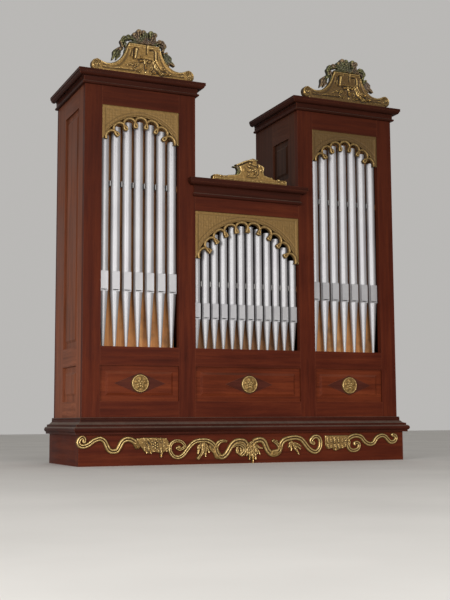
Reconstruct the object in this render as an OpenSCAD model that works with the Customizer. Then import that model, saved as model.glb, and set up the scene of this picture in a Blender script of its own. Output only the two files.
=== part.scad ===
// Small chamber pipe organ: a panelled case with two side towers and a lower centre,
// three flats of tin front pipes, pierced gilt shades over them, carved crests and an apron.
// The front faces -Y, +X is to the right and the plinth stands on Z = 0.

/* [Case] */
// Width of the case over its outer stiles
case_w = 2000; // [1900:10:2200]
// Depth of the case from the front face to the back face
case_d = 586; // [480:2:700]
// Height of the side towers up to the top of their cornices
tower_h = 2198; // [2050:2:2400]
// Height of the centre up to the top of its cornice
centre_h = 1635; // [1560:1:1700]
// Width of each side tower over its two stiles
tower_w = 664; // [620:2:700]
// Width of the upright stiles of the front and the back
stile_w = 101; // [90:1:115]
// Thickness of the front frame
frame_t = 36; // [30:1:45]
// Thickness of the side frames and of the inner tower sides
side_t = 30; // [22:1:40]
// Thickness of the back frame
back_t = 24; // [18:1:30]
// Thickness of the roof boards and of the floor board
board_t = 20; // [15:1:28]
// Length of the front stile of a side frame, measured from the front face
side_stile_front = 121; // [100:1:140]
// Length of the back stile of a side frame, measured from the back face
side_stile_back = 188; // [90:1:210]
// The same length on the inner tower sides over the centre's roof
inner_stile_back = 252; // [150:1:270]
// Height that the top rail of the inner tower sides reaches below the frieze
inner_rail_drop = 40; // [0:1:60]

/* [Plinth and rails] */
// Height of the plinth
plinth_h = 171; // [150:1:200]
// Reach of the plinth beyond the case at the front and the sides
plinth_out = 24; // [10:1:30]
// Thickness of the plinth boards
plinth_t = 50; // [45:1:60]
// Height of the base moulding
base_h = 91; // [80:1:110]
// Reach of the base moulding beyond the case
base_out = 57; // [50:1:70]
// Visible height of the rail over the base moulding
bottom_rail_h = 89; // [75:1:110]
// Height of the lower panels
low_panel_h = 197; // [170:1:230]
// Height of the sill rail under the pipes
sill_rail_h = 104; // [90:1:130]
// Visible height of the frieze over the tower pipes
tower_frieze_h = 108; // [80:1:120]
// Visible height of the frieze over the centre pipes
centre_frieze_h = 82; // [70:1:110]

/* [Panels] */
// Depth from the face of a frame to the flat edge of its panel
panel_inset = 12; // [8:1:15]
// Thickness of a panel at its flat edge
panel_t = 10; // [8:1:12]
// Width of the flat and sloping margin round the raised field of a panel
panel_margin = 32; // [24:1:40]
// Height of the raised field over the flat edge of a panel
field_rise = 7; // [4:1:8]
// Width of the bevel round the raised field
field_bevel = 14; // [8:1:20]
// Length of the lozenge on a lower panel
lozenge_l = 300; // [240:5:340]
// Height of the lozenge on a lower panel
lozenge_h = 118; // [100:1:124]
// Thickness of the lozenge
lozenge_t = 3; // [2:0.5:4]
// Diameter of the rosettes
rosette_d = 102; // [90:1:110]

/* [Cornices] */
// Height of the tower cornices
tower_cornice_h = 76; // [65:1:90]
// Reach of the tower cornices
tower_cornice_out = 48; // [40:1:55]
// Height of the centre cornice
centre_cornice_h = 104; // [90:1:115]
// Reach of the centre cornice
centre_cornice_out = 46; // [40:1:55]

/* [Pipes] */
// Largest number of pipes in each tower
tower_count = 7; // [5:1:7]
// Largest number of pipes in the centre
centre_count = 12; // [8:1:12]
// Diameter of the tower pipes
tower_pipe_d = 52; // [44:1:56]
// Diameter of the centre pipes
centre_pipe_d = 45; // [38:1:48]
// Length of the feet of the tower pipes
tower_foot = 309; // [260:1:340]
// Length of the feet of the centre pipes
centre_foot = 170; // [140:1:200]
// Height of the mouth plate of the tower pipes
tower_mouth_h = 112; // [90:1:120]
// Height of the mouth plate of the centre pipes
centre_mouth_h = 93; // [80:1:100]
// Share of a pipe's diameter that its mouth plate is wide
mouth_share = 0.84; // [0.8:0.01:0.95]
// Depth that the flat mouth plate is pressed in behind the front of the pipe's body
mouth_in = 3; // [2:0.5:4]
// Height of the slit in a mouth
slit_h = 5; // [4:0.5:9]
// Height of the lower lip under the slit
lower_lip_h = 6; // [5:1:18]
// Diameter of the tip of a pipe's foot
tip_d = 15; // [12:0.5:18]
// Thickness of the pipe metal
pipe_wall = 1.2; // [1:0.1:1.6]
// Distance of the pipes' axes behind the front face
pipe_set = 48; // [46:1:52]
// Room between the outer pipes and the sides of their opening
pipe_side_gap = 2; // [1:0.5:6]
// Room between the tops of the pipes and the arch over them
pipe_top_gap = 24; // [20:1:32]
// Height that the tops of the outer pipes reach behind the sides of the shades
pipe_hidden_h = 8; // [4:1:14]
// Depth of the boards that the pipes' feet stand on
toe_d = 120; // [100:2:140]
// Room between the tower pipes and the bare boards behind them
inner_board_gap = 14; // [12:1:20]
// Height above the floor of the rack that holds the tower pipes
tower_rack_z = 1558; // [1480:2:1620]
// Height above the floor of the rack that holds the centre pipes
centre_rack_z = 1013; // [960:1:1100]
// Height of the racks
rack_h = 30; // [24:1:36]
// Width of the hooks between the pipes
hook_w = 7; // [5:0.5:9]

/* [Shades] */
// Thickness of the pierced shades
shade_t = 13; // [10:1:13]
// Distance of the shades behind the front face
shade_inset = 5; // [4:0.5:6]
// Height of the tower shades at their sides
tower_shade_h = 178; // [160:1:200]
// Height of the centre shade at its sides
centre_shade_h = 262; // [240:1:280]
// Height of a tower shade over the crown of its arch
tower_crown_h = 51; // [40:1:60]
// Height of the centre shade over the crown of its arch
centre_crown_h = 43; // [35:1:55]
// Thickness of a carved scroll
scroll_w = 10; // [9:0.5:12]
// Lap of a scroll over its neighbour, and into the board above it
scroll_lap = 3; // [2.5:0.5:4]
// Number of scrolls of a tower shade
tower_scrolls = 7; // [6:1:8]
// Number of scrolls of the centre shade
centre_scrolls = 10; // [9:1:11]

/* [Carving] */
// Length of a tower crest
tower_crest_l = 630; // [600:2:640]
// Height of the carved body of a tower crest without the leaves on top
tower_crest_body_h = 200; // [170:1:210]
// Height of a tower crest with its leaves
tower_crest_h = 288; // [250:1:300]
// Length of the centre crest
centre_crest_l = 486; // [460:2:500]
// Height of the centre crest
centre_crest_h = 146; // [120:1:155]
// Thickness of the crests
crest_t = 34; // [26:1:34]
// Distance of the crests behind the front edges of the cornices that they stand on
crest_set = 32; // [8:1:36]
// Height of the plain foot of a crest under its scrolls
crest_foot = 8; // [0:1:12]
// Thickness of the apron carving
apron_t = 16; // [12:1:20]
// Width of the apron's ribbon
ribbon_w = 30; // [26:1:34]
// Room between the apron's lowest leaf and the floor
apron_clear = 6; // [5:0.5:10]

/* [Hidden] */
$fn = 48;

// Colours of the woods, the gilding and the pipe metal
mahogany = "#5a241c";
mahogany_dark = "#451b16";
bare_wood = "#8a5a2c";
old_gold = "#a98a4a";
leaf_paint = "#5d5a34";
tin = "#c9c9c6";

// The case stands so that the base moulding and the back face are equally far from the middle
front_y = -(case_d - base_out) / 2;
back_y = front_y + case_d;
half_w = case_w / 2;
inner_x = half_w - tower_w;
tower_x = half_w - tower_w / 2;
tower_open = tower_w - 2 * stile_w;
centre_open = 2 * inner_x;

// Heights of the rows of rails and openings
base_top = plinth_h + base_h;
panel_z = base_top + bottom_rail_h;
rail_z = panel_z + low_panel_h;
sill_z = rail_z + sill_rail_h;
tower_top = tower_h - tower_cornice_h - tower_frieze_h;
centre_top = centre_h - centre_cornice_h - centre_frieze_h;
tower_roof_z = tower_h - board_t;
inner_top = tower_top - inner_rail_drop;
centre_roof_z = centre_h - board_t;

// Small clearance between a pipe and the rack behind it, and the overshoot of cuts
fit_gap = 0.3;
over = 1;
back_frame_y = back_y - back_t;

// Box from its lowest corner to its highest corner
module block(low, high) {
    translate(low) cube(high - low);
}

// Copies its children mirrored in the middle plane as well
module both_sides() {
    children();
    mirror([1, 0, 0]) children();
}

// Lays a flat shape drawn in X and Z against the plane y, growing towards the front
module relief(y, t) {
    translate([0, y, 0]) rotate([90, 0, 0]) linear_extrude(t) children();
}

// Moulding along the front of a box that is width wide, its ends cut to 45 degree mitres;
// the profile is drawn outwards in X and upwards in Y
module front_run(width, reach, z) {
    corner = width / 2;
    far = corner + reach;
    intersection() {
        translate([-far, 0, z]) rotate([90, 0, 90]) mirror([1, 0, 0]) linear_extrude(2 * far) children();
        linear_extrude(tower_h) polygon([[-corner, 0], [corner, 0], [far, -reach], [-far, -reach]]);
    }
}

// The same moulding along both sides of the box, mitred to the front run
module side_runs(width, depth, reach, z) {
    corner = width / 2;
    far = corner + reach;
    both_sides() intersection() {
        translate([corner, depth, z]) rotate([90, 0, 0]) linear_extrude(depth + reach) children();
        linear_extrude(tower_h) polygon([[corner, 0], [far, -reach], [far, depth], [corner, depth]]);
    }
}

// Base moulding: fillet, torus, ledge, cove and a bead on top
module base_profile() {
    fillet_h = base_h * 0.11;
    torus_h = base_h * 0.34;
    bead_h = base_h * 0.1;
    bead_out = base_out * 0.21;
    ledge_out = base_out * 0.72;
    cove_z = fillet_h + torus_h;
    cove_r = ledge_out - bead_out;
    square([base_out * 0.82, fillet_h]);
    square([base_out - torus_h / 2, cove_z]);
    translate([base_out - torus_h / 2, fillet_h + torus_h / 2]) circle(torus_h / 2);
    difference() {
        translate([0, cove_z]) square([ledge_out, base_h - cove_z - bead_h]);
        translate([ledge_out, base_h - bead_h]) circle(cove_r);
        translate([bead_out, base_h - bead_h - cove_r / 2]) square([cove_r, cove_r / 2 + over]);
    }
    translate([0, base_h - bead_h]) square([bead_out - bead_h / 2, bead_h]);
    translate([bead_out - bead_h / 2, base_h - bead_h / 2]) circle(bead_h / 2);
}

// Cornice: bead, ogee and a flat fillet on top
module cornice_profile(h, out) {
    bead_h = h * 0.2;
    bead_out = out * 0.38;
    fillet_h = h * 0.22;
    neck_out = out * 0.2;
    ogee_h = h - bead_h - fillet_h;
    wave_r = (out * 0.92 - neck_out) / 2;
    square([bead_out - bead_h / 2, bead_h]);
    translate([bead_out - bead_h / 2, bead_h / 2]) circle(bead_h / 2);
    translate([0, bead_h]) square([neck_out, ogee_h]);
    difference() {
        translate([neck_out, bead_h + ogee_h / 2]) square([wave_r, ogee_h / 2]);
        translate([neck_out + wave_r, bead_h + ogee_h / 2]) circle(wave_r);
    }
    translate([neck_out, bead_h + ogee_h / 2]) intersection() {
        translate([wave_r, ogee_h / 2]) circle(wave_r);
        square([2 * wave_r, ogee_h / 2]);
    }
    translate([0, h - fillet_h]) square([out, fillet_h]);
}

// Low block with four sloping edges, its base on y and its top towards the front
module sloped_field(w, h, y, t, slope) {
    intersection() {
        translate([0, y, -h / 2]) linear_extrude(h)
            polygon([[-w / 2, 0], [w / 2, 0], [w / 2 - slope, -t], [slope - w / 2, -t]]);
        translate([-w / 2, y, 0]) rotate([90, 0, 90]) linear_extrude(w)
            polygon([[0, -h / 2], [0, h / 2], [-t, h / 2 - slope], [-t, slope - h / 2]]);
    }
}

// Panel with a raised and fielded middle, its face towards the front, centred on x
module fielded_panel(x, y, z, w, h) {
    board_y = y + panel_inset;
    block([x - w / 2, board_y, z], [x + w / 2, board_y + panel_t, z + h]);
    translate([x, 0, z + h / 2])
        sloped_field(w - 2 * panel_margin, h - 2 * panel_margin, board_y, field_rise, field_bevel);
}

// Lower panel with its lozenge
module lower_panel(x, w) {
    field_y = front_y + panel_inset - field_rise;
    color(mahogany) {
        fielded_panel(x, front_y, panel_z, w, low_panel_h);
        translate([x, 0, panel_z + low_panel_h / 2]) relief(field_y, lozenge_t)
            polygon([[-lozenge_l / 2, 0], [0, -lozenge_h / 2], [lozenge_l / 2, 0], [0, lozenge_h / 2]]);
    }
}

// Radius and centre height of the arch of a shade
function arch_r(open_w) = open_w / 2 + shade_t;
function arch_z(top, crown_h, open_w) = top - crown_h - arch_r(open_w);

// Height of the arch at a distance from its middle
function arch_at(top, crown_h, open_w, dx) =
    arch_z(top, crown_h, open_w) + sqrt(pow(arch_r(open_w), 2) - dx * dx);

// Flat outline of a pierced shade: a spandrel board, and under its arch a row of scrolls that share
// out the arch evenly, each pair ending in a cusp with two curled tips
module shade_outline(open_w, top, side_h, crown_h, scrolls) {
    r = arch_r(open_w);
    centre_z = arch_z(top, crown_h, open_w);
    step = 2 * acos((top - side_h - centre_z) / r) / scrolls;
    half_step = sin(step / 2);
    scroll_r = ((r + scroll_lap) * half_step + scroll_lap) / (1 + half_step);
    ring_r = r - scroll_r + scroll_lap;
    cusp_r = ring_r - scroll_r * 0.9;
    tip_r = scroll_w * 0.8;
    first = -(scrolls - 1) / 2;
    difference() {
        translate([-open_w / 2, top - side_h]) square([open_w, side_h]);
        translate([0, centre_z]) circle(r, $fn = 96);
    }
    intersection() {
        translate([-open_w / 2, 0]) square([open_w, top]);
        translate([0, centre_z]) {
            for (i = [first : 1 : -first]) rotate(-i * step) translate([0, ring_r]) difference() {
                circle(scroll_r);
                circle(scroll_r - scroll_w);
                translate([-scroll_r - over, -scroll_r - over]) square([2 * (scroll_r + over), scroll_r]);
            }
            for (i = [first + 0.5 : 1 : -first - 0.5]) rotate(-i * step) {
                translate([-scroll_w / 2, cusp_r]) square([scroll_w, ring_r - cusp_r + scroll_w]);
                for (side = [-1, 1]) translate([side * tip_r * 0.8, cusp_r]) circle(tip_r);
            }
        }
    }
}

// Shade board in its opening, with a raised border along its top and sides
module shade(x, open_w, top, side_h, crown_h, scrolls) {
    border_w = 20;
    border_rise = 3;
    back = front_y + shade_inset + shade_t;
    color(old_gold) translate([x, 0, 0]) {
        relief(back, shade_t) shade_outline(open_w, top, side_h, crown_h, scrolls);
        relief(front_y + shade_inset, border_rise) difference() {
            translate([-open_w / 2, top - side_h]) square([open_w, side_h]);
            translate([-open_w / 2 + border_w, top - side_h - over])
                square([open_w - 2 * border_w, side_h - border_w + over]);
            translate([0, arch_z(top, crown_h, open_w)]) circle(arch_r(open_w), $fn = 96);
        }
    }
}

// Front pipe of tin: hollow foot and body, languid, pressed flat mouth with ears, slit and seam
module pipe(x, d, foot, mouth_h, top) {
    r = d / 2;
    body_l = top - sill_z;
    tip_r = tip_d / 2;
    plate_w = d * mouth_share;
    plate_y = mouth_in - r;
    slit_z = foot + lower_lip_h;
    seam_h = 2;
    bore_r = r - pipe_wall;
    translate([x, front_y + pipe_set, sill_z]) difference() {
        union() {
            difference() {
                rotate_extrude() polygon([[0, 0], [tip_r, 0], [r, foot], [r, body_l], [0, body_l]]);
                // front pressed flat over the height of the mouth
                block([-r, -r - over, foot], [r, plate_y, foot + mouth_h]);
            }
            block([-plate_w / 2, plate_y, foot], [plate_w / 2, 0, foot + mouth_h]);
        }
        // seam between the foot and the lower lip
        block([-r, -r - over, foot], [r, plate_y + seam_h, foot + seam_h]);
        // wind way of the foot
        rotate_extrude() polygon([[0, -over], [tip_r - pipe_wall, -over], [tip_r - pipe_wall, 0],
            [bore_r - mouth_in - seam_h, foot - pipe_wall], [0, foot - pipe_wall]]);
        // bore of the body, narrowed behind the flat plate
        translate([0, 0, foot + pipe_wall]) cylinder(h = mouth_h, r = bore_r - mouth_in - seam_h);
        translate([0, 0, foot + mouth_h]) cylinder(h = body_l, r = bore_r);
        // slit of the mouth, cut between the ears
        block([2 * pipe_wall - plate_w / 2, plate_y - over, slit_z],
            [plate_w / 2 - 2 * pipe_wall, -r / 2, slit_z + slit_h]);
    }
}

// Number of pipes that stand in an opening with room for the hooks between them, and their pitch
function row_count(open_w, count, d) =
    min(count, floor((open_w - 2 * pipe_side_gap + hook_w) / (d + hook_w)));
function row_pitch(open_w, pipes, d) = (open_w - d - 2 * pipe_side_gap) / (pipes - 1);

// Row of pipes whose tops follow the arch, the outer ones ending behind the sides of the shade
module pipe_flat(x, open_w, count, d, foot, mouth_h, top, crown_h, side_h) {
    pipes = row_count(open_w, count, d);
    pitch = row_pitch(open_w, pipes, d);
    color(tin) for (i = [0 : pipes - 1]) {
        dx = (i - (pipes - 1) / 2) * pitch;
        arch = arch_at(top, crown_h, open_w, abs(dx)) - pipe_top_gap;
        pipe(x + dx, d, foot, mouth_h, max(arch, top - side_h + pipe_hidden_h));
    }
}

// Rack behind the bodies of a row, let into the stiles' backs at its ends
module pipe_rack(x, open_w, d, z) {
    ear = 25;
    rack_y = front_y + pipe_set + d / 2 + fit_gap;
    rack_end = front_y + pipe_set + tower_pipe_d / 2 + inner_board_gap;
    frame_back = front_y + frame_t;
    block([x - open_w / 2, rack_y, z], [x + open_w / 2, rack_end, z + rack_h]);
    for (side = [-1, 1]) translate([x + side * (open_w / 2 + ear / 2), 0, 0])
        block([-ear / 2, frame_back, z], [ear / 2, rack_end, z + rack_h]);
}

// Hooks on a rack, one in each space between two pipes
module row_hooks(x, open_w, count, d, z) {
    pipes = row_count(open_w, count, d);
    pitch = row_pitch(open_w, pipes, d);
    rack_y = front_y + pipe_set + d / 2 + fit_gap;
    for (i = [1 : pipes - 1]) translate([x + (i - pipes / 2) * pitch, 0, 0])
        block([-hook_w / 2, front_y + pipe_set - d / 4, z], [hook_w / 2, rack_y, z + rack_h]);
}

// Upright of the front frame between two places across the case
module front_stile(x0, x1) {
    color(mahogany_dark) block([x0, front_y, plinth_h], [x1, front_y + frame_t, tower_roof_z]);
}

// Rail of the front frame in each of the three bays
module bay_rails(y0, y1, z0, tower_z1, centre_z1) {
    for (side = [-1, 1]) translate([side * tower_x, 0, 0])
        block([-tower_open / 2, y0, z0], [tower_open / 2, y1, tower_z1]);
    block([-inner_x, y0, z0], [inner_x, y1, centre_z1]);
}

module plinth_front() {
    color(mahogany) block([-half_w - plinth_out, front_y - plinth_out, 0],
        [half_w + plinth_out, front_y - plinth_out + plinth_t, plinth_h]);
}

module plinth_sides() {
    color(mahogany) both_sides()
        block([half_w + plinth_out - plinth_t, front_y - plinth_out + plinth_t, 0],
            [half_w + plinth_out, back_y - plinth_t, plinth_h]);
}

module plinth_back() {
    color(mahogany) block([-half_w - plinth_out, back_y - plinth_t, 0],
        [half_w + plinth_out, back_y, plinth_h]);
}

module base_moulding() {
    color(mahogany_dark) translate([0, front_y, 0]) front_run(case_w, base_out, plinth_h) base_profile();
}

module base_returns() {
    color(mahogany_dark) translate([0, front_y, 0])
        side_runs(case_w, case_d, base_out, plinth_h) base_profile();
}

module case_floor() {
    color(bare_wood) block([-half_w + side_t, front_y + frame_t, plinth_h],
        [half_w - side_t, back_frame_y, plinth_h + board_t]);
}

module left_outer_stile() {
    front_stile(-half_w, -half_w + stile_w);
}

module left_inner_stile() {
    front_stile(-inner_x - stile_w, -inner_x);
}

module right_inner_stile() {
    front_stile(inner_x, inner_x + stile_w);
}

module right_outer_stile() {
    front_stile(half_w - stile_w, half_w);
}

module bottom_rails() {
    color(mahogany) bay_rails(front_y, front_y + frame_t, plinth_h, panel_z, panel_z);
}

module sill_rails() {
    color(mahogany) bay_rails(front_y, front_y + frame_t, rail_z, sill_z, sill_z);
}

module frieze_rails() {
    color(mahogany) {
        for (side = [-1, 1]) translate([side * tower_x, 0, 0])
            block([-tower_open / 2, front_y, tower_top], [tower_open / 2, front_y + frame_t, tower_roof_z]);
        block([-inner_x, front_y, centre_top], [inner_x, front_y + frame_t, centre_roof_z]);
    }
}

module left_lower_panel() {
    lower_panel(-tower_x, tower_open);
}

module centre_lower_panel() {
    lower_panel(0, centre_open);
}

module right_lower_panel() {
    lower_panel(tower_x, tower_open);
}

// Carved flower boss with a raised rim on the middle of each lower panel
module rosettes() {
    petals = 5;
    rim_w = 9;
    rim_t = 12;
    dish_t = 5;
    boss_y = front_y + panel_inset - field_rise - lozenge_t;
    ring_r = rosette_d * 0.21;
    color(old_gold) for (x = [-tower_x, 0, tower_x])
        translate([x, boss_y, panel_z + low_panel_h / 2]) rotate([90, 0, 0]) {
            cylinder(h = dish_t, d = rosette_d);
            difference() {
                cylinder(h = rim_t, d = rosette_d);
                translate([0, 0, dish_t]) cylinder(h = rim_t, d = rosette_d - 2 * rim_w);
            }
            intersection() {
                translate([0, 0, dish_t - rosette_d / 10]) {
                    for (i = [0 : petals - 1]) rotate(i * 360 / petals + 90) translate([ring_r, 0, 0])
                        sphere(rosette_d * 0.15);
                    sphere(rosette_d * 0.17);
                }
                cylinder(h = rim_t + over, d = rosette_d);
            }
        }
}

module left_shade() {
    shade(-tower_x, tower_open, tower_top, tower_shade_h, tower_crown_h, tower_scrolls);
}

module centre_shade() {
    shade(0, centre_open, centre_top, centre_shade_h, centre_crown_h, centre_scrolls);
}

module right_shade() {
    shade(tower_x, tower_open, tower_top, tower_shade_h, tower_crown_h, tower_scrolls);
}

// Pipes of a tower
module tower_pipes(x) {
    pipe_flat(x, tower_open, tower_count, tower_pipe_d, tower_foot, tower_mouth_h,
        tower_top, tower_crown_h, tower_shade_h);
}

module left_pipes() {
    tower_pipes(-tower_x);
}

module centre_pipes() {
    pipe_flat(0, centre_open, centre_count, centre_pipe_d, centre_foot, centre_mouth_h,
        centre_top, centre_crown_h, centre_shade_h);
}

module right_pipes() {
    tower_pipes(tower_x);
}

// Boards behind the sill rails that the feet of the pipes stand on
module toe_boards() {
    frame_back = front_y + frame_t;
    color(bare_wood) bay_rails(frame_back, frame_back + toe_d, sill_z - board_t, sill_z, sill_z);
}

// Upright boards standing on the toe boards: as high as the opening in the towers, and as high as
// the feet of the pipes in the centre
module inner_boards() {
    board_y = front_y + pipe_set + tower_pipe_d / 2 + inner_board_gap;
    color(bare_wood) bay_rails(board_y, board_y + board_t / 2, sill_z, tower_top, sill_z + centre_foot);
}

module pipe_racks() {
    color(bare_wood) {
        for (side = [-1, 1]) pipe_rack(side * tower_x, tower_open, tower_pipe_d, tower_rack_z);
        pipe_rack(0, centre_open, centre_pipe_d, centre_rack_z);
    }
}

module rack_hooks() {
    color(tin) {
        for (side = [-1, 1]) row_hooks(side * tower_x, tower_open, tower_count, tower_pipe_d, tower_rack_z);
        row_hooks(0, centre_open, centre_count, centre_pipe_d, centre_rack_z);
    }
}

// Stiles of a side frame that starts at x0, the back one as long as given
module side_stile_pair(x0, z0, back_l) {
    block([x0, front_y + frame_t, z0], [x0 + side_t, front_y + side_stile_front, tower_roof_z]);
    block([x0, back_y - back_l, z0], [x0 + side_t, back_frame_y, tower_roof_z]);
}

// Stiles of the outer sides, and of the inner tower sides that stand on the centre's roof
module side_stiles() {
    color(mahogany) both_sides() {
        side_stile_pair(half_w - side_t, plinth_h, side_stile_back);
        side_stile_pair(inner_x, centre_h, inner_stile_back);
    }
}

// Rail of a side frame between its stiles
module side_rail(x0, z0, z1, back_l) {
    block([x0, front_y + side_stile_front, z0], [x0 + side_t, back_y - back_l, z1]);
}

module side_rails() {
    outer_x = half_w - side_t;
    color(mahogany) both_sides() {
        side_rail(outer_x, plinth_h, panel_z, side_stile_back);
        side_rail(outer_x, rail_z, sill_z, side_stile_back);
        side_rail(outer_x, tower_top, tower_roof_z, side_stile_back);
        side_rail(inner_x, centre_h, centre_h + bottom_rail_h, inner_stile_back);
        side_rail(inner_x, inner_top, tower_roof_z, inner_stile_back);
    }
}

// Panel of a side frame, its face towards +X
module side_panel(face_x, z0, z1, back_l) {
    depth = case_d - side_stile_front - back_l;
    mid_y = front_y + side_stile_front + depth / 2;
    translate([face_x, mid_y, 0]) rotate([0, 0, 90]) fielded_panel(0, 0, z0, depth, z1 - z0);
}

module side_panels() {
    color(mahogany) both_sides() {
        side_panel(half_w, panel_z, rail_z, side_stile_back);
        side_panel(half_w, sill_z, tower_top, side_stile_back);
        mirror([1, 0, 0]) side_panel(-inner_x, centre_h + bottom_rail_h, inner_top, inner_stile_back);
    }
}

module back_stiles() {
    color(mahogany_dark) both_sides() {
        block([half_w - stile_w, back_frame_y, plinth_h], [half_w, back_y, tower_roof_z]);
        block([inner_x, back_frame_y, plinth_h], [inner_x + stile_w, back_y, tower_roof_z]);
    }
}

module back_rails() {
    color(mahogany_dark) {
        bay_rails(back_frame_y, back_y, plinth_h, panel_z, panel_z);
        bay_rails(back_frame_y, back_y, rail_z, sill_z, sill_z);
        for (side = [-1, 1]) translate([side * tower_x, 0, 0])
            block([-tower_open / 2, back_frame_y, tower_top], [tower_open / 2, back_y, tower_roof_z]);
        block([-inner_x, back_frame_y, centre_top], [inner_x, back_y, centre_roof_z]);
    }
}

// Plain boards that close the back between its stiles and rails
module back_panels() {
    board_y = back_frame_y + (back_t - panel_t) / 2;
    color(mahogany) {
        bay_rails(board_y, board_y + panel_t, panel_z, rail_z, rail_z);
        bay_rails(board_y, board_y + panel_t, sill_z, tower_top, centre_top);
    }
}

// Roof boards on the towers and the centre; the centre's one carries the inner tower sides
module roofs() {
    color(mahogany_dark) {
        both_sides() block([inner_x, front_y, tower_roof_z], [half_w, back_y, tower_h]);
        block([-inner_x, front_y, centre_roof_z], [inner_x, back_y, centre_h]);
        both_sides()
            block([inner_x, front_y + frame_t, centre_roof_z], [inner_x + side_t, back_frame_y, centre_h]);
    }
}

module tower_cornice(x) {
    color(mahogany_dark) translate([x, front_y, 0])
        front_run(tower_w, tower_cornice_out, tower_h - tower_cornice_h)
            cornice_profile(tower_cornice_h, tower_cornice_out);
}

module left_cornice() {
    tower_cornice(-tower_x);
}

// Centre cornice, whose short returns die onto the faces of the tower stiles
module centre_cornice() {
    color(mahogany_dark) translate([0, front_y, 0]) {
        z = centre_h - centre_cornice_h;
        front_run(centre_open, centre_cornice_out, z) cornice_profile(centre_cornice_h, centre_cornice_out);
        side_runs(centre_open, 0, centre_cornice_out, z)
            cornice_profile(centre_cornice_h, centre_cornice_out);
    }
}

module right_cornice() {
    tower_cornice(tower_x);
}

module cornice_returns() {
    color(mahogany_dark) for (side = [-1, 1]) translate([side * tower_x, front_y, 0])
        side_runs(tower_w, case_d, tower_cornice_out, tower_h - tower_cornice_h)
            cornice_profile(tower_cornice_h, tower_cornice_out);
}

// Pointed leaf from its root, drawn upwards, as the overlap of two circles
module leaf(l, w) {
    r = (l * l / 4 + w * w / 4) / w;
    translate([0, l / 2]) intersection() {
        translate([r - w / 2, 0]) circle(r);
        translate([w / 2 - r, 0]) circle(r);
    }
}

// Point on the smooth curve through four neighbouring points
function smooth(a, b, c, d, t) =
    0.5 * (2 * b + (c - a) * t + (2 * a - 5 * b + 4 * c - d) * t * t + (3 * b - a - 3 * c + d) * t * t * t);

// Points along a smooth curve through a list of points
function curve(p, n) = [
    for (i = [0 : len(p) - 2], j = [0 : n - 1])
        smooth(p[max(i - 1, 0)], p[i], p[i + 1], p[min(i + 2, len(p) - 1)], j / n),
    p[len(p) - 1]
];

// Flat outline of a tower crest: a strip that ends in volutes, and flanks that sweep up to the body
module tower_crest_outline() {
    volute_r = tower_crest_l * 0.054;
    end_x = tower_crest_l / 2 - volute_r;
    high = tower_crest_body_h;
    wide = tower_crest_l;
    flank = curve([
        [wide * 0.4, high * 0.34], [wide * 0.37, high * 0.285], [wide * 0.33, high * 0.26],
        [wide * 0.29, high * 0.3], [wide * 0.255, high * 0.39], [wide * 0.226, high * 0.49],
        [wide * 0.204, high * 0.6], [wide * 0.186, high * 0.73], [wide * 0.175, high * 0.87],
        [wide * 0.172, high]
    ], 3);
    for (side = [-1, 1]) translate([side * end_x, crest_foot + volute_r]) circle(volute_r);
    polygon(concat([[end_x, 0]], [for (p = flank) p],
        [for (i = [len(flank) - 1 : -1 : 0]) [-flank[i][0], flank[i][1]]], [[-end_x, 0]]));
}

// Back face of a crest that stands on a cornice of a given reach
function crest_back(out) = front_y - out + crest_set + crest_t;

// Leaf of the bunch from its root towards a tip, all as shares of the crest's length and height
module crest_leaf(root, tip, share) {
    a = [root[0] * tower_crest_l, root[1] * tower_crest_h];
    b = [tip[0] * tower_crest_l, tip[1] * tower_crest_h];
    v = b - a;
    translate(a) rotate(atan2(v[1], v[0]) - 90) leaf(norm(v), norm(v) * share);
}

// Tower crest: body with sunk flutes, and a flower with leaves on top and down both flanks
module tower_crest(x) {
    flute_w = tower_crest_l * 0.029;
    flute_x = tower_crest_l * 0.087;
    flute_l = tower_crest_body_h * 0.28;
    flute_z = tower_crest_body_h * 0.54;
    flute_in = crest_t / 4;
    y = crest_back(tower_cornice_out);
    bunch = [
        [[-0.02, 0.67], [-0.17, 0.81], 0.5], [[0.03, 0.71], [0.17, 0.94], 0.55],
        [[0.04, 0.67], [0.22, 0.74], 0.5], [[-0.12, 0.69], [-0.23, 0.6], 0.5],
        [[-0.2, 0.61], [-0.287, 0.32], 0.42], [[0.13, 0.69], [0.24, 0.59], 0.5],
        [[0.2, 0.61], [0.295, 0.3], 0.42]
    ];
    translate([x, 0, tower_h]) {
        color(old_gold) difference() {
            relief(y, crest_t) tower_crest_outline();
            for (side = [-1, 1]) translate([side * flute_x, 0, flute_z])
                relief(y - crest_t + flute_in, flute_in + over) {
                    translate([-flute_w / 2, 0]) square([flute_w, flute_l - flute_w / 2]);
                    translate([0, flute_l - flute_w / 2]) circle(flute_w / 2);
                }
        }
        color(leaf_paint) relief(y, crest_t * 0.88) {
            translate([0, tower_crest_h * 0.84]) circle(tower_crest_h * 0.16);
            for (l = bunch) crest_leaf(l[0], l[1], l[2]);
        }
    }
}

module left_crest() {
    tower_crest(-tower_x);
}

module right_crest() {
    tower_crest(tower_x);
}

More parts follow.
